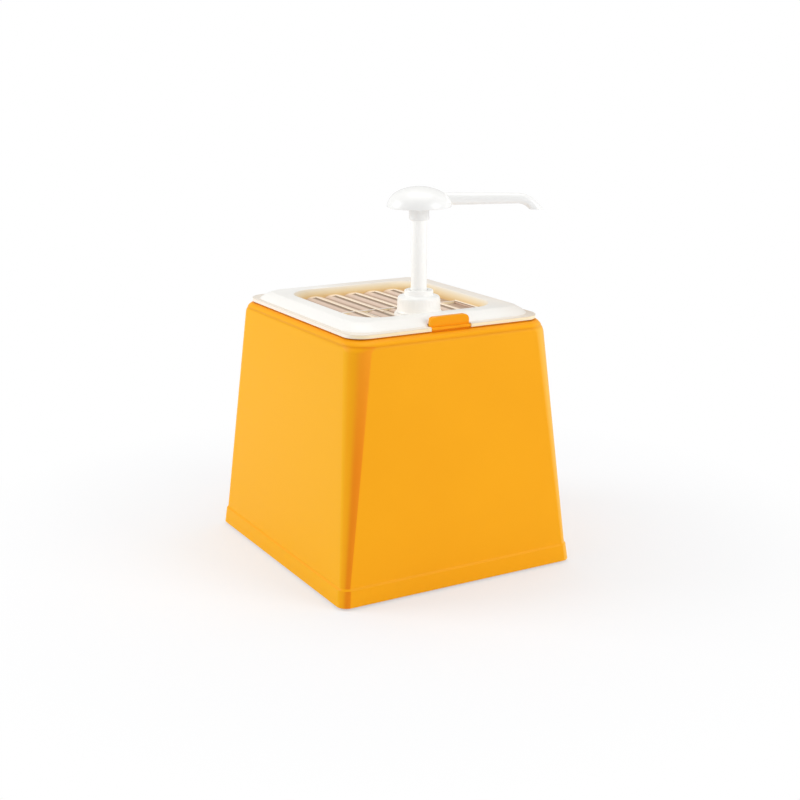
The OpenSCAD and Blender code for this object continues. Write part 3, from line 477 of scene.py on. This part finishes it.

# Milky white with a soft sheen, which painted shade makes a little greyer and warmer towards the back
# right
material, tree, place = new_material("milky_polypropylene")
colour = drifting_colour(tree, place, 60, "#F8F5EF", "#FCFBF7")
back_right = add(tree, "ShaderNodeVectorMath", {"operation": "DOT_PRODUCT", 1: (1.0, 0.5, 0.0)},
                 {0: place})
painted_far_shade = add(tree, "ShaderNodeMapRange", {**soft, "From Min": -10 * mm, "From Max": 60 * mm},
                {"Value": back_right.outputs["Value"]})
colour = add(tree, "ShaderNodeMix", {"data_type": "RGBA", 7: "#EEE6DB"},
             {0: painted_far_shade.outputs["Result"], 6: colour}).outputs[2]

# A painted orange glow gives the flange's thin edge a cream tone from the orange below it, deepest at
# the front, and a soft painted line of shade lies where the border starts to rise from it
normal = add(tree, "ShaderNodeTexCoord").outputs["Normal"]
facing = add(tree, "ShaderNodeSeparateXYZ", links={"Vector": normal})
painted_glow_front_share = add(tree, "ShaderNodeMapRange", {"From Min": -0.3, "From Max": -0.9},
                  {"Value": facing.outputs["Y"]})
painted_edge_glow = add(tree, "ShaderNodeMix", {"data_type": "RGBA", 6: "#F8F3E6", 7: "#FFF3CE"},
                  {0: painted_glow_front_share.outputs["Result"]}).outputs[2]
above_edge = by_height(tree, place, 205, 209, [(0.0, "#000000"), (0.66, "#000000"), (0.76, "#FFFFFF")])
colour = add(tree, "ShaderNodeMix", {"data_type": "RGBA"},
             {0: above_edge, 6: painted_edge_glow, 7: colour}).outputs[2]
painted_flange_shade = [(0.0, "#FFFFFF"), (0.62, "#FFFFFF"), (0.7, "#F2E8DC"), (0.78, "#F2E8DC"),
               (0.88, "#FFFFFF")]
colour = by_height(tree, place, 205, 209, painted_flange_shade, colour)
milky_lid = finish_material(material, tree, place, colour, 0.6, 0.008, milky)

# The same white in the recess's walls, with a painted glow, warm from the orange deck behind, most at
# their foot
material, tree, place = new_material("milky_polypropylene_painted_orange_glow")
colour = by_height(tree, place, 206.5, 214.2, [(0.0, "#D6AB6C"), (0.25, "#E4C38C"), (0.6, "#ECD8B2"),
                                               (0.9, "#EFE5D3"), (1.0, "#F8F4EA")])
recess_wall = finish_material(material, tree, place, colour, 0.6, 0.008, milky)

# The same white in the floor, which painted shade makes browner over the dark pan. Painted shade lies on
# the left of its swells and ridges, and painted light on their right and past the ridges' far ends.
material, tree, place = new_material("milky_polypropylene_painted_shade")
shaded = by_height(tree, place, 206.4, 209.1, [
    (0.0, "#9C8069"), (0.1, "#C3A58E"), (0.22, "#DDC2AE"), (0.48, "#E6CDB9"), (0.56, "#A08770"),
    (0.74, "#8C735C"), (0.8, "#FBE6CC"), (1.0, "#FFF2DF")])
lit = by_height(tree, place, 206.4, 209.1, [
    (0.0, "#A98B74"), (0.12, "#D6B9A2"), (0.4, "#EBD0B8"), (0.56, "#FCE6CA"), (1.0, "#FFF2DF")])
normal = add(tree, "ShaderNodeTexCoord").outputs["Normal"]
facing = add(tree, "ShaderNodeSeparateXYZ", links={"Vector": normal})
to_right = add(tree, "ShaderNodeMapRange", {"From Min": -0.06, "From Max": 0.04},
               {"Value": facing.outputs["X"]})
spot = add(tree, "ShaderNodeSeparateXYZ", links={"Vector": place})
past_end = add(tree, "ShaderNodeMapRange", {"From Min": 59 * mm, "From Max": 61 * mm},
               {"Value": spot.outputs["Y"]})
lit_share = add(tree, "ShaderNodeMath", {"operation": "MAXIMUM"},
                {0: to_right.outputs[0], 1: past_end.outputs[0]})
colour = add(tree, "ShaderNodeMix", {"data_type": "RGBA"},
             {0: lit_share.outputs[0], 6: shaded, 7: lit}).outputs[2]
recess_floor = finish_material(material, tree, place, colour, 0.6, 0.008, milky)


def combine(target, shape, operation):
    """Joins a shape to an object, cuts it out or keeps what both share, as the object's own mesh."""
    bmesh.ops.recalc_face_normals(shape, faces=shape.faces)
    tool = made_object(shape, "tool")
    step = target.modifiers.new("combine", "BOOLEAN")
    step.operation = operation
    step.solver = "EXACT"
    step.object = tool
    bpy.context.view_layer.update()
    result = bpy.data.meshes.new_from_object(target.evaluated_get(bpy.context.evaluated_depsgraph_get()))
    target.modifiers.remove(step)
    target.data = result
    bpy.data.objects.remove(tool)
    cleaned = bmesh.new()
    cleaned.from_mesh(result)
    bmesh.ops.remove_doubles(cleaned, verts=cleaned.verts, dist=2 * hair)
    bmesh.ops.dissolve_degenerate(cleaned, edges=cleaned.edges, dist=2 * hair)
    cleaned.to_mesh(result)
    cleaned.free()


# The lid's heights, and its plan sizes: the recess, the flange, the border's top, the hollows under the
# last two and the skirt that goes down into the pan
lid_z, flange_z, border_z, floor_z = 206.2, 208.2, 214.2, 206.5
lip_z, pan_skirt_z, lid_wall = lid_z - 1.0, lid_z - 5, 2.2
recess, flange, border_top = (127.0, 140.0), (172.0, 196.6), (148.4, 162.0)
under_flange, under_border = (163, 177), (154, 168)
pan_skirt, pan_skirt_inside = (139.4, 153.4), (136.2, 150.2)

# The border's edge slopes down to the flange and bulges a little, and its corners widen on the way
slope, slope_power, border_radius, border_gain = (8.8, 12.0), 1.6, 14, 7
slope_rings = []
for angle in range(80, -1, -10):
    out, up = [f(math.radians(angle)) ** slope_power for f in (math.cos, math.sin)]
    slope_rings.append((flange_z + (border_z - flange_z) * up, border_top[0] + 2 * slope[0] * out,
                        border_top[1] + 2 * slope[1] * out, border_radius + border_gain * out))
tub_rings = [
    (border_z - lid_wall, *grown(recess, 1.9), 27),
    (floor_z + 3.4, *grown(recess, -1.3), 25),
    (floor_z - 1.1, *grown(recess, -3.3), 23),
    (floor_z - lid_wall, *grown(recess, -5.3), 21),
]
shape = bmesh.new()
loops = moulded_shell(shape, [
    (floor_z, *grown(recess, -6.5), 20),
    (floor_z + 0.4, *grown(recess, -5.6), 20.6),
    (floor_z + 1.2, *grown(recess, -4.9), 21.2),
    (floor_z + 3.4, *grown(recess, -3.5), 23),
    (border_z - 1.2, *grown(recess, -0.5), 24.6),
    (border_z - 0.35, *grown(recess, 0.05), 25.2),
    (border_z, *grown(recess, 0.9), 26),
    (border_z, *border_top, border_radius),
    *slope_rings,
    (flange_z, *grown(flange, -0.3), 15.7),
    (flange_z - 0.3, *flange, 16),
    (lip_z, *flange, 16),
    (lip_z, *grown(flange, -1.3), 14.7),
    (lid_z, *grown(flange, -1.3), 14.7),
    (lid_z, *under_flange, 17),
    (flange_z + 0.4, *under_flange, 17),
    (border_z - lid_wall, *under_border, 13),
    (border_z - lid_wall, *pan_skirt, 15.7),
    (pan_skirt_z, *pan_skirt, 15.7),
    (pan_skirt_z, *pan_skirt_inside, 14.1),
    (border_z - lid_wall, *pan_skirt_inside, 14.1),
    *tub_rings,
], closed=False)
for loop in loops:
    bmesh.ops.edgeloop_fill(shape, edges=loop)
lid = new_piece(shape, "milky_lid", "lid", "lid", milky_lid, "lid")
lid.data.materials.append(recess_wall)
lid.data.materials.append(recess_floor)

# Five low swells run from front to back wall, and are cut off by the walls. Those behind the boss start
# at the pump's axis.
pump_y, boss_radius = -48.0, 19.5
swell_gap, swell_width, swell_height, floor_sink, arc_steps = 19.0, 18.0, 1.6, 1.0, 12
swell_radius = (swell_width ** 2 / 4 + swell_height ** 2) / (2 * swell_height)
swell_end = recess[1] / 2 - 3.7
swell_line = [(-swell_width / 2, floor_z - floor_sink), (swell_width / 2, floor_z - floor_sink)]
for arc_step in range(arc_steps, -arc_steps - 1, -1):
    x = swell_width / 2 * arc_step / arc_steps
    swell_line.append((x, floor_z + swell_height - swell_radius + math.sqrt(swell_radius ** 2 - x ** 2)))
shape = bmesh.new()
for step in range(-2, 3):
    start = -swell_end if abs(step) > 1 else pump_y
    extruded(shape, swell_line, swell_end - start,
             Matrix.Translation(Vector((step * swell_gap, (swell_end + start) / 2, 0)) * mm))
bmesh.ops.recalc_face_normals(shape, faces=shape.faces)
swells = made_object(shape, "swells")
tub = bmesh.new()
for loop in moulded_shell(tub, tub_rings, closed=False):
    bmesh.ops.edgeloop_fill(tub, edges=loop)
combine(swells, tub, "INTERSECT")
shape = bmesh.new()
shape.from_mesh(swells.data)
bpy.data.objects.remove(swells)
combine(lid, shape, "UNION")

# A narrow ridge with ball ends runs on each swell, and one more at each side in front of the cross rib
cross_y, ridge_radius, ridge_height, ridge_end, boss_clear = -12.0, 1.7, 2.5, 59.0, 4.5
shape = bmesh.new()
for step in range(-3, 4):
    start = -ridge_end if abs(step) > 1 else pump_y + boss_radius + boss_clear
    end = ridge_end if abs(step) < 3 else cross_y
    verts = bmesh.ops.create_uvsphere(shape, u_segments=24, v_segments=16, radius=ridge_radius * mm,
                                      matrix=Matrix.Rotation(math.pi / 2, 4, "X"))["verts"]
    back = [v for v in verts if v.co.y > hair]
    front = [v for v in verts if v.co.y < -hair]
    middle = [v for v in verts if abs(v.co.y) <= hair]
    bmesh.ops.delete(shape, geom=middle, context="VERTS")
    bmesh.ops.translate(shape, verts=back, vec=Vector((0, end * mm, 0)))
    bmesh.ops.translate(shape, verts=front, vec=Vector((0, start * mm, 0)))
    rims = {e for v in back + front for e in v.link_edges if e.is_boundary}
    bmesh.ops.bridge_loops(shape, edges=list(rims))
    bmesh.ops.translate(shape, verts=back + front,
                        vec=Vector((step * swell_gap, 0, floor_z + ridge_height - ridge_radius)) * mm)
combine(lid, shape, "UNION")

# One low rib crosses them in front of the middle
cross_height, cross_half, cross_end = 1.75, 1.2, recess[0] / 2 - 3.4
shape = bmesh.new()
box(shape, (-cross_end, cross_y - cross_half, floor_z - floor_sink),
    (cross_end, cross_y + cross_half, floor_z + cross_height))
combine(lid, shape, "UNION")

# The boss and the spigot stand at the front of the recess, and are bored for the pump's cylinder
boss_z, boss_flare, boss_edge, spigot_z, spigot_radius = 210.6, 1, 0.5, 218.0, 14.9
bore_radius, bore_low, bore_high = 12.75, 200, 220
at_pump = Matrix.Translation((0, pump_y * mm, 0))
shape = bmesh.new()
turned(shape, [
    (0, floor_z - floor_sink), (boss_radius + boss_flare, floor_z - floor_sink),
    (boss_radius, boss_z - boss_edge), (boss_radius - boss_edge, boss_z), (spigot_radius, boss_z),
    (spigot_radius, spigot_z), (0, spigot_z)], at_pump)
combine(lid, shape, "UNION")
shape = bmesh.new()
turned(shape, [(0, bore_low), (bore_radius, bore_low), (bore_radius, bore_high), (0, bore_high)],
       at_pump)
combine(lid, shape, "DIFFERENCE")

# The snap tab has a notch at the front
notch_width, notch_back = 36.0, 90.8
notch_front, notch_low, notch_high = notch_back + 20, border_z - 10, border_z + 10
shape = bmesh.new()
box(shape, (-notch_width / 2, -notch_front, notch_low), (notch_width / 2, -notch_back, notch_high))
combine(lid, shape, "DIFFERENCE")


def within(point, size, radius):
    """True where a point in mm lies inside a rounded outline."""
    out_x, out_y = abs(point.x) - size[0] / 2 + radius, abs(point.y) - size[1] / 2 + radius
    return math.hypot(max(out_x, 0), max(out_y, 0)) < radius


# The recess's walls and floor get their own materials. The boss and the cross rib keep the lid's white.
wall_slot, floor_slot = 1, 2
recess_brim, recess_foot, brim_radius, foot_radius = grown(recess, 0.3), grown(recess, -6.4), 25.5, 20
boss_limit, cross_limit = boss_radius + 0.9, cross_half + 0.05
cross_low, underside = floor_z + 0.5, floor_z - 0.2
for face in lid.data.polygons:
    centre = face.center / mm
    on_boss = (centre.xy - Vector((0, pump_y))).length < boss_limit
    on_cross = abs(centre.y - cross_y) < cross_limit and centre.z > cross_low
    in_recess = within(centre, recess_brim, brim_radius) and centre.z > underside
    if in_recess and not on_boss and not on_cross:
        face.material_index = floor_slot if within(centre, recess_foot, foot_radius) else wall_slot
smooth_curves(lid)

# Moulded silicone, duller and greyer than the hard mouldings round it
silicone = plain_finish("moulded_silicone", "#E9E6DF", "#DEDAD2", 0.5, 0.01,
                        {"IOR": 1.42, "Roughness": 0.55, "Specular IOR Level": 0.35}, 25)
for node in ("lid_seal", "cylinder_gasket", "stem_wiper"):
    dress(node, silicone)


# ---- Pump, inside ----
# The cylinder hangs in the lid's bore with its dip tube, foot valve and retainer. The stem carries the
# piston down through the guide, and the spring lifts them. Nothing of it shows but the stem.

# White moulded polypropylene with a soft sheen. Its thin walls pass light on, and a painted glow stands
# for that: it shines a little by itself and stays bright in the shade.
white = plain_finish("moulded_polypropylene", "#F8F8F5", "#F5F4F0", 0.6, 0.008,
                     {"IOR": 1.49, "Roughness": 0.32,
                      "Emission Color": (1, 1, 1, 1), "Emission Strength": 0.1})
dress("piston_stem", white)
for node in ("pump_cylinder", "valve_retainer", "dip_tube"):
    dress(node, natural)

# Turned acetal, a dense white with a faint sheen
acetal = plain_finish("turned_acetal", "#EFEFEA", "#E4E4DE", 0.3, 0.006,
                      {"IOR": 1.48, "Roughness": 0.3}, 15)
for node in ("stem_guide", "piston"):
    dress(node, acetal)
for node in ("upper_piston_seal", "lower_piston_seal"):
    dress(node, rubber)

# Drawn stainless wire, a bright metal that the die leaves a little dull
drawn_wire = plain_finish("drawn_stainless_wire", "#C9CACB", "#B7B9BB", 0.25, 0.006,
                          {"Metallic": 1.0, "Roughness": 0.3}, 4)

# The return spring is a coil with flat end turns, on its seat in the retainer.
coil_low, coil_high = (Vector(corner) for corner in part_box("return_spring"))
wire, coil_turns, flat_turns, steps_per_turn = 1.2, 9.5, 0.6, 32
coil_radius = (coil_high.x - coil_low.x) / 2 / mm - wire / 2
seat = Vector((0, pump_y * mm, coil_low.z))
shape = bmesh.new()
at_start = Matrix.Translation(Vector((coil_radius, 0, wire / 2)) * mm)
run = bmesh.ops.create_circle(shape, cap_ends=True, segments=12, radius=wire / 2 * mm,
                              matrix=at_start @ Matrix.Rotation(math.pi / 2, 4, "X"))["verts"]
run = run + shape.edges[:] + shape.faces[:]
climb = coil_high.z - coil_low.z - wire * mm
for turns, rise in ((flat_turns, 0), (coil_turns - 2 * flat_turns, climb), (flat_turns, 0)):
    steps = round(steps_per_turn * turns)
    run = bmesh.ops.spin(shape, geom=run, cent=(0, 0, 0), axis=(0, 0, 1), dvec=(0, 0, rise / steps),
                         angle=2 * math.pi * turns, steps=steps)["geom_last"]
bmesh.ops.translate(shape, verts=shape.verts, vec=seat)
spring = new_piece(shape, "coiled_return_spring", "lid", "steel", drawn_wire, "return_spring")
smooth_curves(spring)
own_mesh(spring)

# Polished stainless steel, which mirrors what is round it
polished = plain_finish("polished_stainless_ball", "#D4D5D6", "#CDCFD1", 1.5, 0.001,
                        {"Metallic": 1.0, "Roughness": 0.08}, 8)
for node in ("foot_valve_ball", "discharge_ball"):
    dress(node, polished)


# ---- Closure collar ----
# The white closure that screws down over the spigot and clamps the cylinder's flange. It flares at its
# lower edge, steps in to a neck round the stem, and has fine grip ribs.
collar_radius, collar_low, shoulder_top, neck_radius, neck_top = 18.0, 210.8, 224.4, 11.6, 228.5
body_radius, stem_bore, guide_room, seat_z, thread_room = collar_radius - 1.1, 7.75, 10.1, 222.2, 15.3
roof_z = neck_top - 1.5
shape = bmesh.new()
turned(shape, [
    (thread_room, collar_low), (collar_radius - 0.2, collar_low), (collar_radius, collar_low + 0.25),
    (collar_radius, collar_low + 0.8), (collar_radius - 0.35, collar_low + 1.4),
    (collar_radius - 0.6, collar_low + 2.2),
    (body_radius, shoulder_top - 2.4), (body_radius - 0.25, shoulder_top - 1.7),
    (body_radius - 0.9, shoulder_top - 1.0), (body_radius - 2.2, shoulder_top - 0.6),
    (neck_radius + 0.7, shoulder_top - 0.2), (neck_radius + 0.2, shoulder_top + 0.1),
    (neck_radius, shoulder_top + 0.7), (neck_radius, neck_top - 0.9),
    (neck_radius - 0.3, neck_top - 0.3), (neck_radius - 0.9, neck_top), (stem_bore, neck_top),
    (stem_bore, roof_z), (guide_room, roof_z), (guide_room, seat_z), (thread_room, seat_z)],
    Matrix.Identity(4))

# The grip ribs stand a little out of the collar's side
grips, grip_half, grip_low, grip_high = 36, 0.45, collar_low + 2.6, collar_low + 10.2
grip_in, grip_out = body_radius - 0.7, body_radius + 0.3
for step in range(grips):
    grip = box(shape, (grip_in, -grip_half, grip_low), (grip_out, grip_half, grip_high))
    bmesh.ops.rotate(shape, verts=grip, cent=(0, 0, 0),
                     matrix=Matrix.Rotation(math.radians(360 / grips * step), 3, "Z"))
bmesh.ops.transform(shape, verts=shape.verts, matrix=at_pump)
collar = new_piece(shape, "closure_ring", "collar", "pump", white, "closure_collar")
smooth_curves(collar)


# ---- Pump head ----
# The domed push button with its spout. It is moulded in one piece and pressed on the stem's top, with a
# sleeve below the dome and webs inside it. The spout bends down at its end and is cut off level.
dome_z, dome_radius, dome_height, dome_wall, dome_power = 294.0, 25.4, 16.0, 2.2, 2.15
sleeve_z, sleeve_radius, socket_radius, socket_top = 284.0, 8.0, 6.37, 297.4


def dome_line(radius, height, angles):
    """Points of the dome's superellipse from its rim up to the axis."""
    return [(radius * math.cos(math.radians(a)) ** (2 / dome_power) if a < 90 else 0,
             dome_z + height * math.sin(math.radians(a)) ** (2 / dome_power)) for a in angles]


# The angles lie closer where the dome curves most, and its wall ends inside at the sleeve
dome_angles = [0, 2, 5, 10, 16, 23, 30, 38, 46, 54, 62, 70, 78, 84, 90]
inside_radius, inside_height = dome_radius - dome_wall, dome_height - dome_wall
rim_edge, sleeve_edge = 0.3, 0.4
outer = dome_line(dome_radius, dome_height, dome_angles)
inner = dome_line(inside_radius, inside_height, dome_angles[:-2])
inner = [p for p in inner if p[0] > sleeve_radius + 0.5]
outer[0] = (dome_radius, dome_z + rim_edge)
inner[0] = (inside_radius, dome_z + rim_edge)
rim = [(dome_radius - rim_edge, dome_z), (inside_radius + rim_edge, dome_z)]
shape = bmesh.new()
turned(shape, outer[::-1] + rim + inner + [
    (sleeve_radius, inner[-1][1] + 0.1), (sleeve_radius, sleeve_z + sleeve_edge),
    (sleeve_radius - sleeve_edge, sleeve_z), (socket_radius, sleeve_z), (socket_radius, socket_top),
    (0, socket_top)], Matrix.Identity(4))
spout_z, spout_reach, spout_start, spout_end = 300.15, 78.0, 5.15, 4.15
bend_radius, bend_angle, tip_z, spout_bore = 15.5, 45.0, 291.5, 2.5


def open_edges(edges):
    """Those that have a face on one side only."""
    return [e for e in edges if e.is_boundary]


def spout_tube(radii, start, past_bend):
    """The spout's outside or its bore. A ring is extruded from start to the bend, spun round it and run
    on past it, all in mm. The first radius is at the start, and the second from the bend on."""
    shape = bmesh.new()
    ring = bmesh.ops.create_circle(shape, segments=48, radius=radii[0] * mm,
                                   matrix=Matrix.Rotation(math.pi / 2, 4, "Y"))["verts"]
    bmesh.ops.translate(shape, verts=ring, vec=Vector((start, 0, spout_z)) * mm)
    edges = list({e for v in ring for e in v.link_edges})
    bmesh.ops.edgeloop_fill(shape, edges=edges)
    made = bmesh.ops.extrude_edge_only(shape, edges=edges)["geom"]
    ring = only(bmesh.types.BMVert, made)
    bmesh.ops.translate(shape, verts=ring, vec=Vector((spout_reach - start, 0, 0)) * mm)
    taper = radii[1] / radii[0]
    bmesh.ops.scale(shape, verts=ring, vec=(1, taper, taper),
                    space=Matrix.Translation(Vector((0, 0, -spout_z)) * mm))
    down = math.radians(bend_angle)
    made = bmesh.ops.spin(shape, geom=ring + open_edges(only(bmesh.types.BMEdge, made)), axis=(0, 1, 0),
                          cent=Vector((spout_reach, 0, spout_z - bend_radius)) * mm, angle=down,
                          steps=16)["geom_last"]
    made = bmesh.ops.extrude_edge_only(shape, edges=only(bmesh.types.BMEdge, made))["geom"]
    bmesh.ops.translate(shape, verts=only(bmesh.types.BMVert, made),
                        vec=Vector((math.cos(down), 0, -math.sin(down))) * past_bend * mm)
    bmesh.ops.edgeloop_fill(shape, edges=open_edges(only(bmesh.types.BMEdge, made)))
    return shape


tube = spout_tube((spout_start, spout_end), 4, 13)
bmesh.ops.bisect_plane(tube, geom=tube.verts[:] + tube.edges[:] + tube.faces[:],
                       plane_co=Vector((0, 0, tip_z)) * mm, plane_no=(0, 0, 1), clear_inner=True)
bmesh.ops.edgeloop_fill(tube, edges=open_edges(tube.edges))

# The collar's white from a polished mould, with sharper highlights and a painted glow like the collar's
glossy_white = plain_finish("glossy_moulded_polypropylene", "#F0F0EE", "#EDECE9", 0.6, 0.006,
                            {"IOR": 1.49, "Roughness": 0.26,
                             "Emission Color": (1, 1, 1, 1), "Emission Strength": 0.085})
head = new_piece(shape, "push_head", "head", "pump", glossy_white, "pump_head")
combine(head, tube, "UNION")

# Six webs join the sleeve to the dome
web_foot, web_thick = dome_z + 3, 4 / 3
web_in, web_out = sleeve_radius - 0.5, dome_radius - dome_wall / 2
web_line = [p for p in dome_line(web_out, dome_height - dome_wall / 2, dome_angles)
            if p[1] > web_foot and p[0] > sleeve_radius]
web_line = [(web_in, web_foot), (web_out - 0.3, web_foot)] + web_line + [(web_in, web_line[-1][1])]
webs = bmesh.new()
for step in range(6):
    extruded(webs, web_line, web_thick, Matrix.Rotation(math.radians(60 * step + 30), 4, "Z"))
combine(head, webs, "UNION")
combine(head, spout_tube((spout_bore, spout_bore), 0, 15), "DIFFERENCE")

# At rest the spout stands a little towards the front
spout_turn = math.radians(-25)
head.data.transform(at_pump @ Matrix.Rotation(spout_turn, 4, "Z"))
smooth_curves(head)


# ---- Floor, backdrop and lamps ----
# A plain white table and soft boxes to the left, the right and above, in metres. Away from the
# dispenser the table and the world are plain white to the camera, and near it the soft shadow stays.
table_radius = 4.0
shape = bmesh.new()
bmesh.ops.create_circle(shape, cap_ends=True, segments=96, radius=table_radius)
table = made_object(shape, "table")

# Matt white. The camera sees plain white from the far distance on, and half of it up to the near one.
near_share, near, far = 0.5, 0.17, 0.42
material, tree, place = new_material("white_table")
path = add(tree, "ShaderNodeLightPath")
away = add(tree, "ShaderNodeVectorMath", {"operation": "LENGTH"}, {0: place})
white_share = add(tree, "ShaderNodeMapRange", {"From Min": near, "From Max": far, "To Min": near_share,
                                               "To Max": 1.0}, {"Value": away.outputs["Value"]})
seen_white = add(tree, "ShaderNodeMath", {"operation": "MULTIPLY"},
                 {0: white_share.outputs[0], 1: path.outputs["Is Camera Ray"]})
matt = add(tree, "ShaderNodeBsdfDiffuse", {"Color": "#F0F2F6"})
glow = add(tree, "ShaderNodeEmission", {"Color": "#FFFFFF", "Strength": 1.0})
mix = add(tree, "ShaderNodeMixShader",
          links={0: seen_white.outputs[0], 1: matt.outputs[0], 2: glow.outputs[0]})
add(tree, "ShaderNodeOutputMaterial", links={"Surface": mix.outputs[0]})
table.data.materials.append(material)

# The world lights the dispenser from all round, and is white where the camera looks at it
ambient = 0.485
world = bpy.data.worlds.new("white_studio")
bpy.context.scene.world = world
world.use_nodes = True
tree = world.node_tree
tree.nodes.clear()
path = add(tree, "ShaderNodeLightPath")
seen = add(tree, "ShaderNodeMath", {"operation": "MAXIMUM"},
           {0: path.outputs["Is Camera Ray"], 1: path.outputs["Is Transmission Ray"]})
strength = add(tree, "ShaderNodeMapRange", {"To Min": ambient, "To Max": 1.0},
               {"Value": seen.outputs[0]})
backdrop = add(tree, "ShaderNodeBackground", {"Color": "#FFFFFF"}, {"Strength": strength.outputs[0]})
add(tree, "ShaderNodeOutputWorld", links={"Surface": backdrop.outputs[0]})


lamp_aim = Vector((0, 0, 0.15))


def soft_box(name, place, size, watts):
    """A square soft box that faces the middle of the dispenser."""
    data = bpy.data.lights.new(name, "AREA")
    data.shape = "SQUARE"
    data.size = size
    data.energy = watts
    lamp = bpy.data.objects.new(name, data)
    lamp.location = place
    lamp.rotation_euler = (lamp_aim - lamp.location).to_track_quat("-Z", "Y").to_euler()
    bpy.context.scene.collection.objects.link(lamp)


soft_box("left_soft_box", (-1.5, 0.85, 0.9), 1.0, 16.4)
soft_box("right_soft_box", (0.9, -1.5, 0.9), 1.0, 13.4)
soft_box("top_soft_box", (0.2, 0.2, 2.0), 1.4, 11.5)


# ---- Image points ----
# Where the photograph shows the dispenser's outline and its main features, in pixels of its frame. Each
# is the outermost vertex in view of one piece, above a height and before a depth in mm. The points only
# measure the pieces, and nothing is placed by them.
frame_width = frame_height = 800
long_side = max(frame_width, frame_height)
anywhere = 1000
left, right, up, down, left_up, right_up = (-1, 0), (1, 0), (0, -1), (0, 1), (-1, -1), (1, -1)
image_points = (
    ("object_left", housing, left, 226.4, None, 0, anywhere),
    ("object_right", housing, right, 567.5, None, 0, anywhere),
    ("object_foot", housing, down, None, 608.2, 0, anywhere),
    ("front_corner_foot", housing, down, 345.7, 608.2, 0, anywhere),
    ("shoulder_left", housing, left, 256.0, 302.5, rebate_z - 0.1, anywhere),
    ("shoulder_right", housing, right, 536.9, 319.7, rebate_z - 0.1, anywhere),
    ("tab_left_corner", housing, left_up, 426.8, 319.1, deck_z + 2, -90),
    ("tab_right_corner", housing, right_up, 468.8, 315.5, deck_z + 2, -90),
    ("lid_back", lid, up, None, 276.4, 0, anywhere),
    ("flange_left", lid, left, 255.0, 300.0, 0, anywhere),
    ("flange_right", lid, right, 537.2, 318.0, 0, anywhere),
    ("collar_left", collar, left, 396.3, 311.1, 0, anywhere),
    ("collar_right", collar, right, 441.2, 311.1, 0, anywhere),
    ("neck_top", collar, up, None, 289.5, 0, anywhere),
    ("dome_left", head, left, 386.9, 207.0, 0, anywhere),
    ("dome_top", head, up, 418.0, 186.5, 0, anywhere),
    ("spout_tip", head, right, 541.2, 209.4, 0, anywhere),
)


def camera_ray(x, y):
    """The start and the direction of the camera's ray through a place in the photograph's frame."""
    through = Vector((x - frame_width / 2 + shift_x * long_side,
                      frame_height / 2 - y + shift_y * long_side, -long_side * lens / sensor_width))
    return camera.matrix_world.translation, (camera.matrix_world.to_3x3() @ through).normalized()


def shows_at(place):
    """Where a place shows in the photograph's frame."""
    x, y, depth = camera.matrix_world.inverted() @ place
    scale = long_side * lens / sensor_width / -depth
    return (x * scale + frame_width / 2 - shift_x * long_side,
            frame_height / 2 + shift_y * long_side - y * scale)


bpy.context.view_layer.update()
graph = bpy.context.evaluated_depsgraph_get()
finished = {}
for piece in (housing, lid, collar, head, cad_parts["piston_stem"]):
    done = piece.evaluated_get(graph)
    mesh = done.to_mesh()
    finished[piece] = ([done.matrix_world @ v.co for v in mesh.vertices],
                       [tuple(f.vertices) for f in mesh.polygons])
    done.to_mesh_clear()
hidden_by = [BVHTree.FromPolygons(verts, faces) for verts, faces in finished.values()]
short_of, most_tried = 0.5 * mm, 4000


def in_view(place):
    """True where nothing stands between the camera and a vertex."""
    start, direction = camera_ray(*shows_at(place))
    reach = (place - start).length - short_of
    return not any(surface.ray_cast(start, direction, reach)[0] for surface in hidden_by)


for name, piece, side, x, y, above, before in image_points:
    places = [p for p in finished[piece][0] if p.z > above * mm and p.y < before * mm]
    places.sort(key=lambda p: -sum(a * b for a, b in zip(side, shows_at(p))))
    found = next((p for p in places[:most_tried] if in_view(p)), None)
